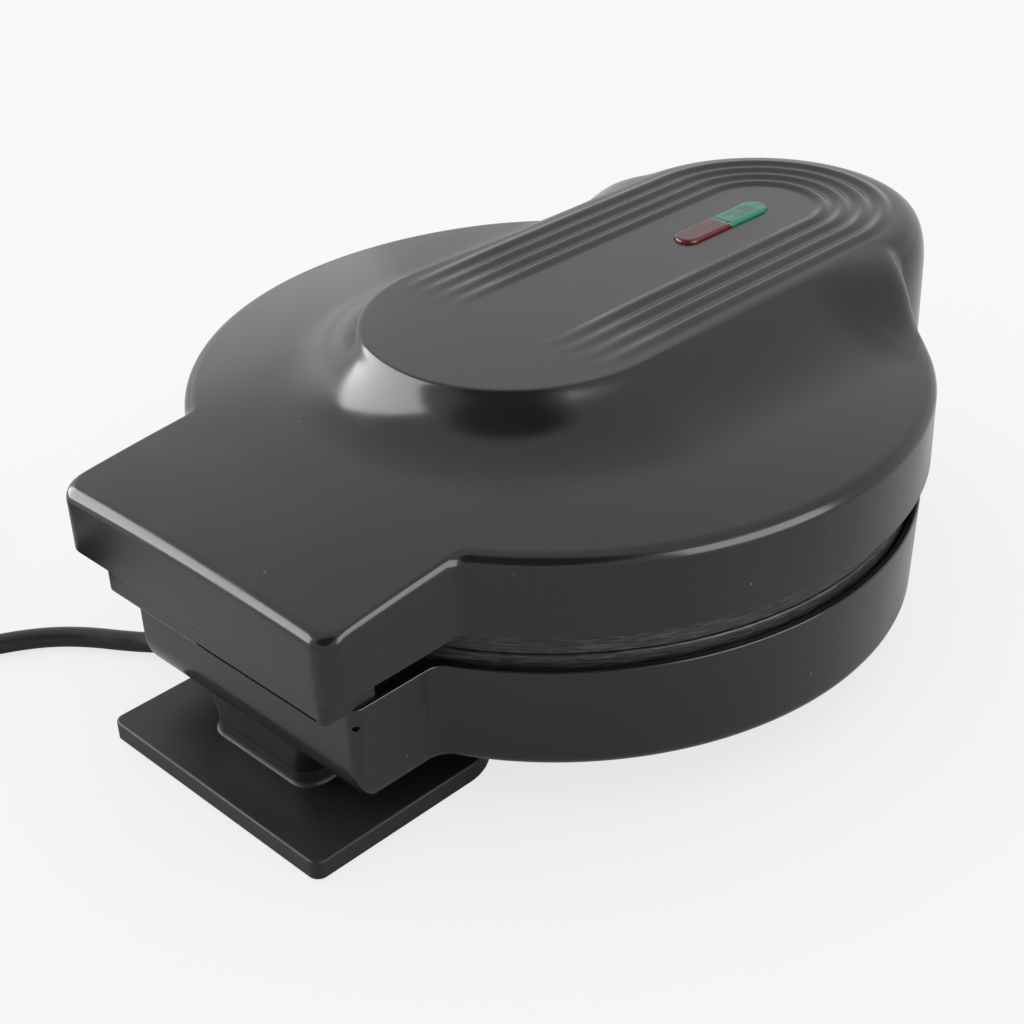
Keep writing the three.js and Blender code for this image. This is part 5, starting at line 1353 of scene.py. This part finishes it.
# Plastic: colour, dust's colour, roughness from and to, grain, its depth in metres, dust, index of
# refraction. Metal: colour, worn colour, metallic, roughness, lines' length and fineness, round, depth.
FINISHES = {
    "gloss_body": plastic("gloss_black", (0.008, 0.008, 0.0085), (0.12, 0.12, 0.12), (0.17, 0.24),
                          700, 1.2e-5, 0.03),
    "satin_body": plastic("satin_black", (0.011, 0.011, 0.0115), (0.1, 0.1, 0.1), (0.42, 0.5),
                          1500, 4e-5, 0.05, 1.36),
    "rubber": plastic("black_rubber", (0.009, 0.009, 0.0092), (0.08, 0.08, 0.08), (0.38, 0.5),
                      1100, 2e-5, 0.03, 1.4),
    "cast_plate": metal("coated_casting", (0.016, 0.0155, 0.015), (0.07, 0.068, 0.065), 0.35, (0.38, 0.52),
                        120, 1800, 1, 4e-5),
    "sheet_steel": metal("brushed_steel", (0.42, 0.42, 0.43), (0.62, 0.62, 0.63), 1, (0.26, 0.42),
                         60, 3000, 0, 2e-5),
    "heater_sheath": metal("heater_sheath", (0.12, 0.1, 0.085), (0.22, 0.2, 0.18), 0.8, (0.42, 0.6),
                           200, 900, 1, 4e-5),
    "brass": metal("plated_brass", (0.52, 0.4, 0.2), (0.72, 0.58, 0.32), 1, (0.2, 0.34), 80, 2600, 0, 2e-5),
    "ceramic": plastic("glazed_ceramic", (0.72, 0.7, 0.63), (0.3, 0.28, 0.25), (0.3, 0.5), 800, 2e-5, 0.04),
    # Clear plastic: core colour, then the brighter rim colour of its painted glow.
    "lamp_glass": clear_plastic("lamp_glass", (0.3, 0.12, 0.06), (0.6, 0.3, 0.15)),
    "red_lens": clear_plastic("red_lens", (0.05, 0.002, 0.004), (0.2, 0.008, 0.012)),
    "green_lens": clear_plastic("green_lens", (0.004, 0.09, 0.055), (0.02, 0.4, 0.26)),
}


def dress():
    """Gives every shown piece the finish of its slot, the CAD solids by the record's table."""
    slots = {row["node"]: row["material_slot"] for row in frame["record"]["subparts"]}
    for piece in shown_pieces():
        name = piece.get("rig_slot") or slots[piece["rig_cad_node"]]
        piece.data.materials.clear()
        piece.data.materials.append(FINISHES[name])
    return len(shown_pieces())


print("dressed", dress(), "pieces in", len(FINISHES), "finishes")

# %% [markdown]
# ## Floor, background and light
# The white world lights the object at a plain level. Three panels, which only gloss sees, and one
# dark patch of the world, where the room behind the camera would be, shape the highlights. The floor
# is pale and lies a little below the feet, so that their undersides stay clear of it.

# %%
FLOOR = Sizes(half=6, z=-0.0002, tone=0.75, roughness=0.9, plain_seen=0.75, plain_gloss=0.1)
DARK_PATCH = Sizes(towards=(-0.4, 0.66, 0.64), outer=36, inner=22, shade=0.08)
WHITE = (1, 1, 1)
AIM = (0, 0, 0.12)


def seen_rays(tree, camera, others):
    """A share for rays from the camera, another for rays from gloss and through glass."""
    path = add_node(tree, "LightPath", {}).outputs
    value = 0
    for name, share in (("Camera", camera), ("Glossy", others), ("Transmission", others)):
        value = calculate(tree, "MULTIPLY_ADD", path[f"Is {name} Ray"], share, value)
    return value


def mix_shaders(tree, share, first, second):
    """Two shaders mixed by a share: the output socket."""
    return add_node(tree, "MixShader", {0: share, 1: first, 2: second}).outputs[0]


def make_floor():
    """Plain pale floor under everything, part of its white shown as it is so that the shadow stays light."""
    corners = [(x * FLOOR.half, y * FLOOR.half, FLOOR.z) for x, y in ((-1, -1), (1, -1), (1, 1), (-1, 1))]
    floor = new_object("floor", corners, [(0, 1, 2, 3)])
    material, tree, shader = start_material("floor_paper", Roughness=FLOOR.roughness)
    feed(tree, [FLOOR.tone] * 3, shader["Base Color"])
    plain = add_node(tree, "Emission", {"Color": WHITE, "Strength": 1.0}).outputs[0]
    lit = tree.nodes["Principled BSDF"].outputs[0]
    share = seen_rays(tree, FLOOR.plain_seen, FLOOR.plain_gloss)
    feed(tree, mix_shaders(tree, share, lit, plain), tree.nodes["Material Output"].inputs["Surface"])
    floor.data.materials.append(material)


def make_world():
    """White behind the object. Gloss sees the same white, with the dark room behind the camera in it."""
    world = bpy.data.worlds.new("studio")
    bpy.context.scene.world = world
    world.use_nodes = True
    tree = world.node_tree
    tree.nodes.clear()
    way = add_node(tree, "TexCoord", {}).outputs["Generated"]
    patch = {0: way, 1: Vector(DARK_PATCH.towards).normalized()}
    towards = add_node(tree, "VectorMath", patch, operation="DOT_PRODUCT").outputs["Value"]
    edges = [math.cos(math.radians(angle)) for angle in (DARK_PATCH.outer, DARK_PATCH.inner)]
    strengths = (1.0, spread_out(tree, towards, *edges, 1, DARK_PATCH.shade), 1.0)
    light, gloss, seen = (add_node(tree, "Background", {"Color": WHITE, "Strength": strength}).outputs[0]
                          for strength in strengths)
    unseen = mix_shaders(tree, seen_rays(tree, 0, 1), light, gloss)
    every = mix_shaders(tree, seen_rays(tree, 1, 0), unseen, seen)
    add_node(tree, "OutputWorld", {"Surface": every})


def area_light(name, at, size, energy):
    """Rectangular panel that shows in gloss and leaves the plain level of the light alone."""
    data = bpy.data.lights.new(name, "AREA")
    data.shape = "RECTANGLE"
    data.size, data.size_y = size
    data.energy = energy
    light = bpy.data.objects.new(name, data)
    light.location = at
    light.visible_diffuse = False
    light.rotation_euler = (Vector(AIM) - Vector(at)).to_track_quat("-Z", "Y").to_euler()
    bpy.context.scene.collection.objects.link(light)


make_floor()
make_world()
area_light("window_panel", (1.21, 0.88, 0.57), (1.8, 1.1), 42)
area_light("side_panel", (1.5, -0.5, 0.62), (1.0, 0.45), 0.8)
area_light("low_panel", (-1.19, -0.15, 0.42), (1.0, 0.84), 13)
bpy.context.scene.view_settings.view_transform = "Standard"
print("floor, background and lights are in")
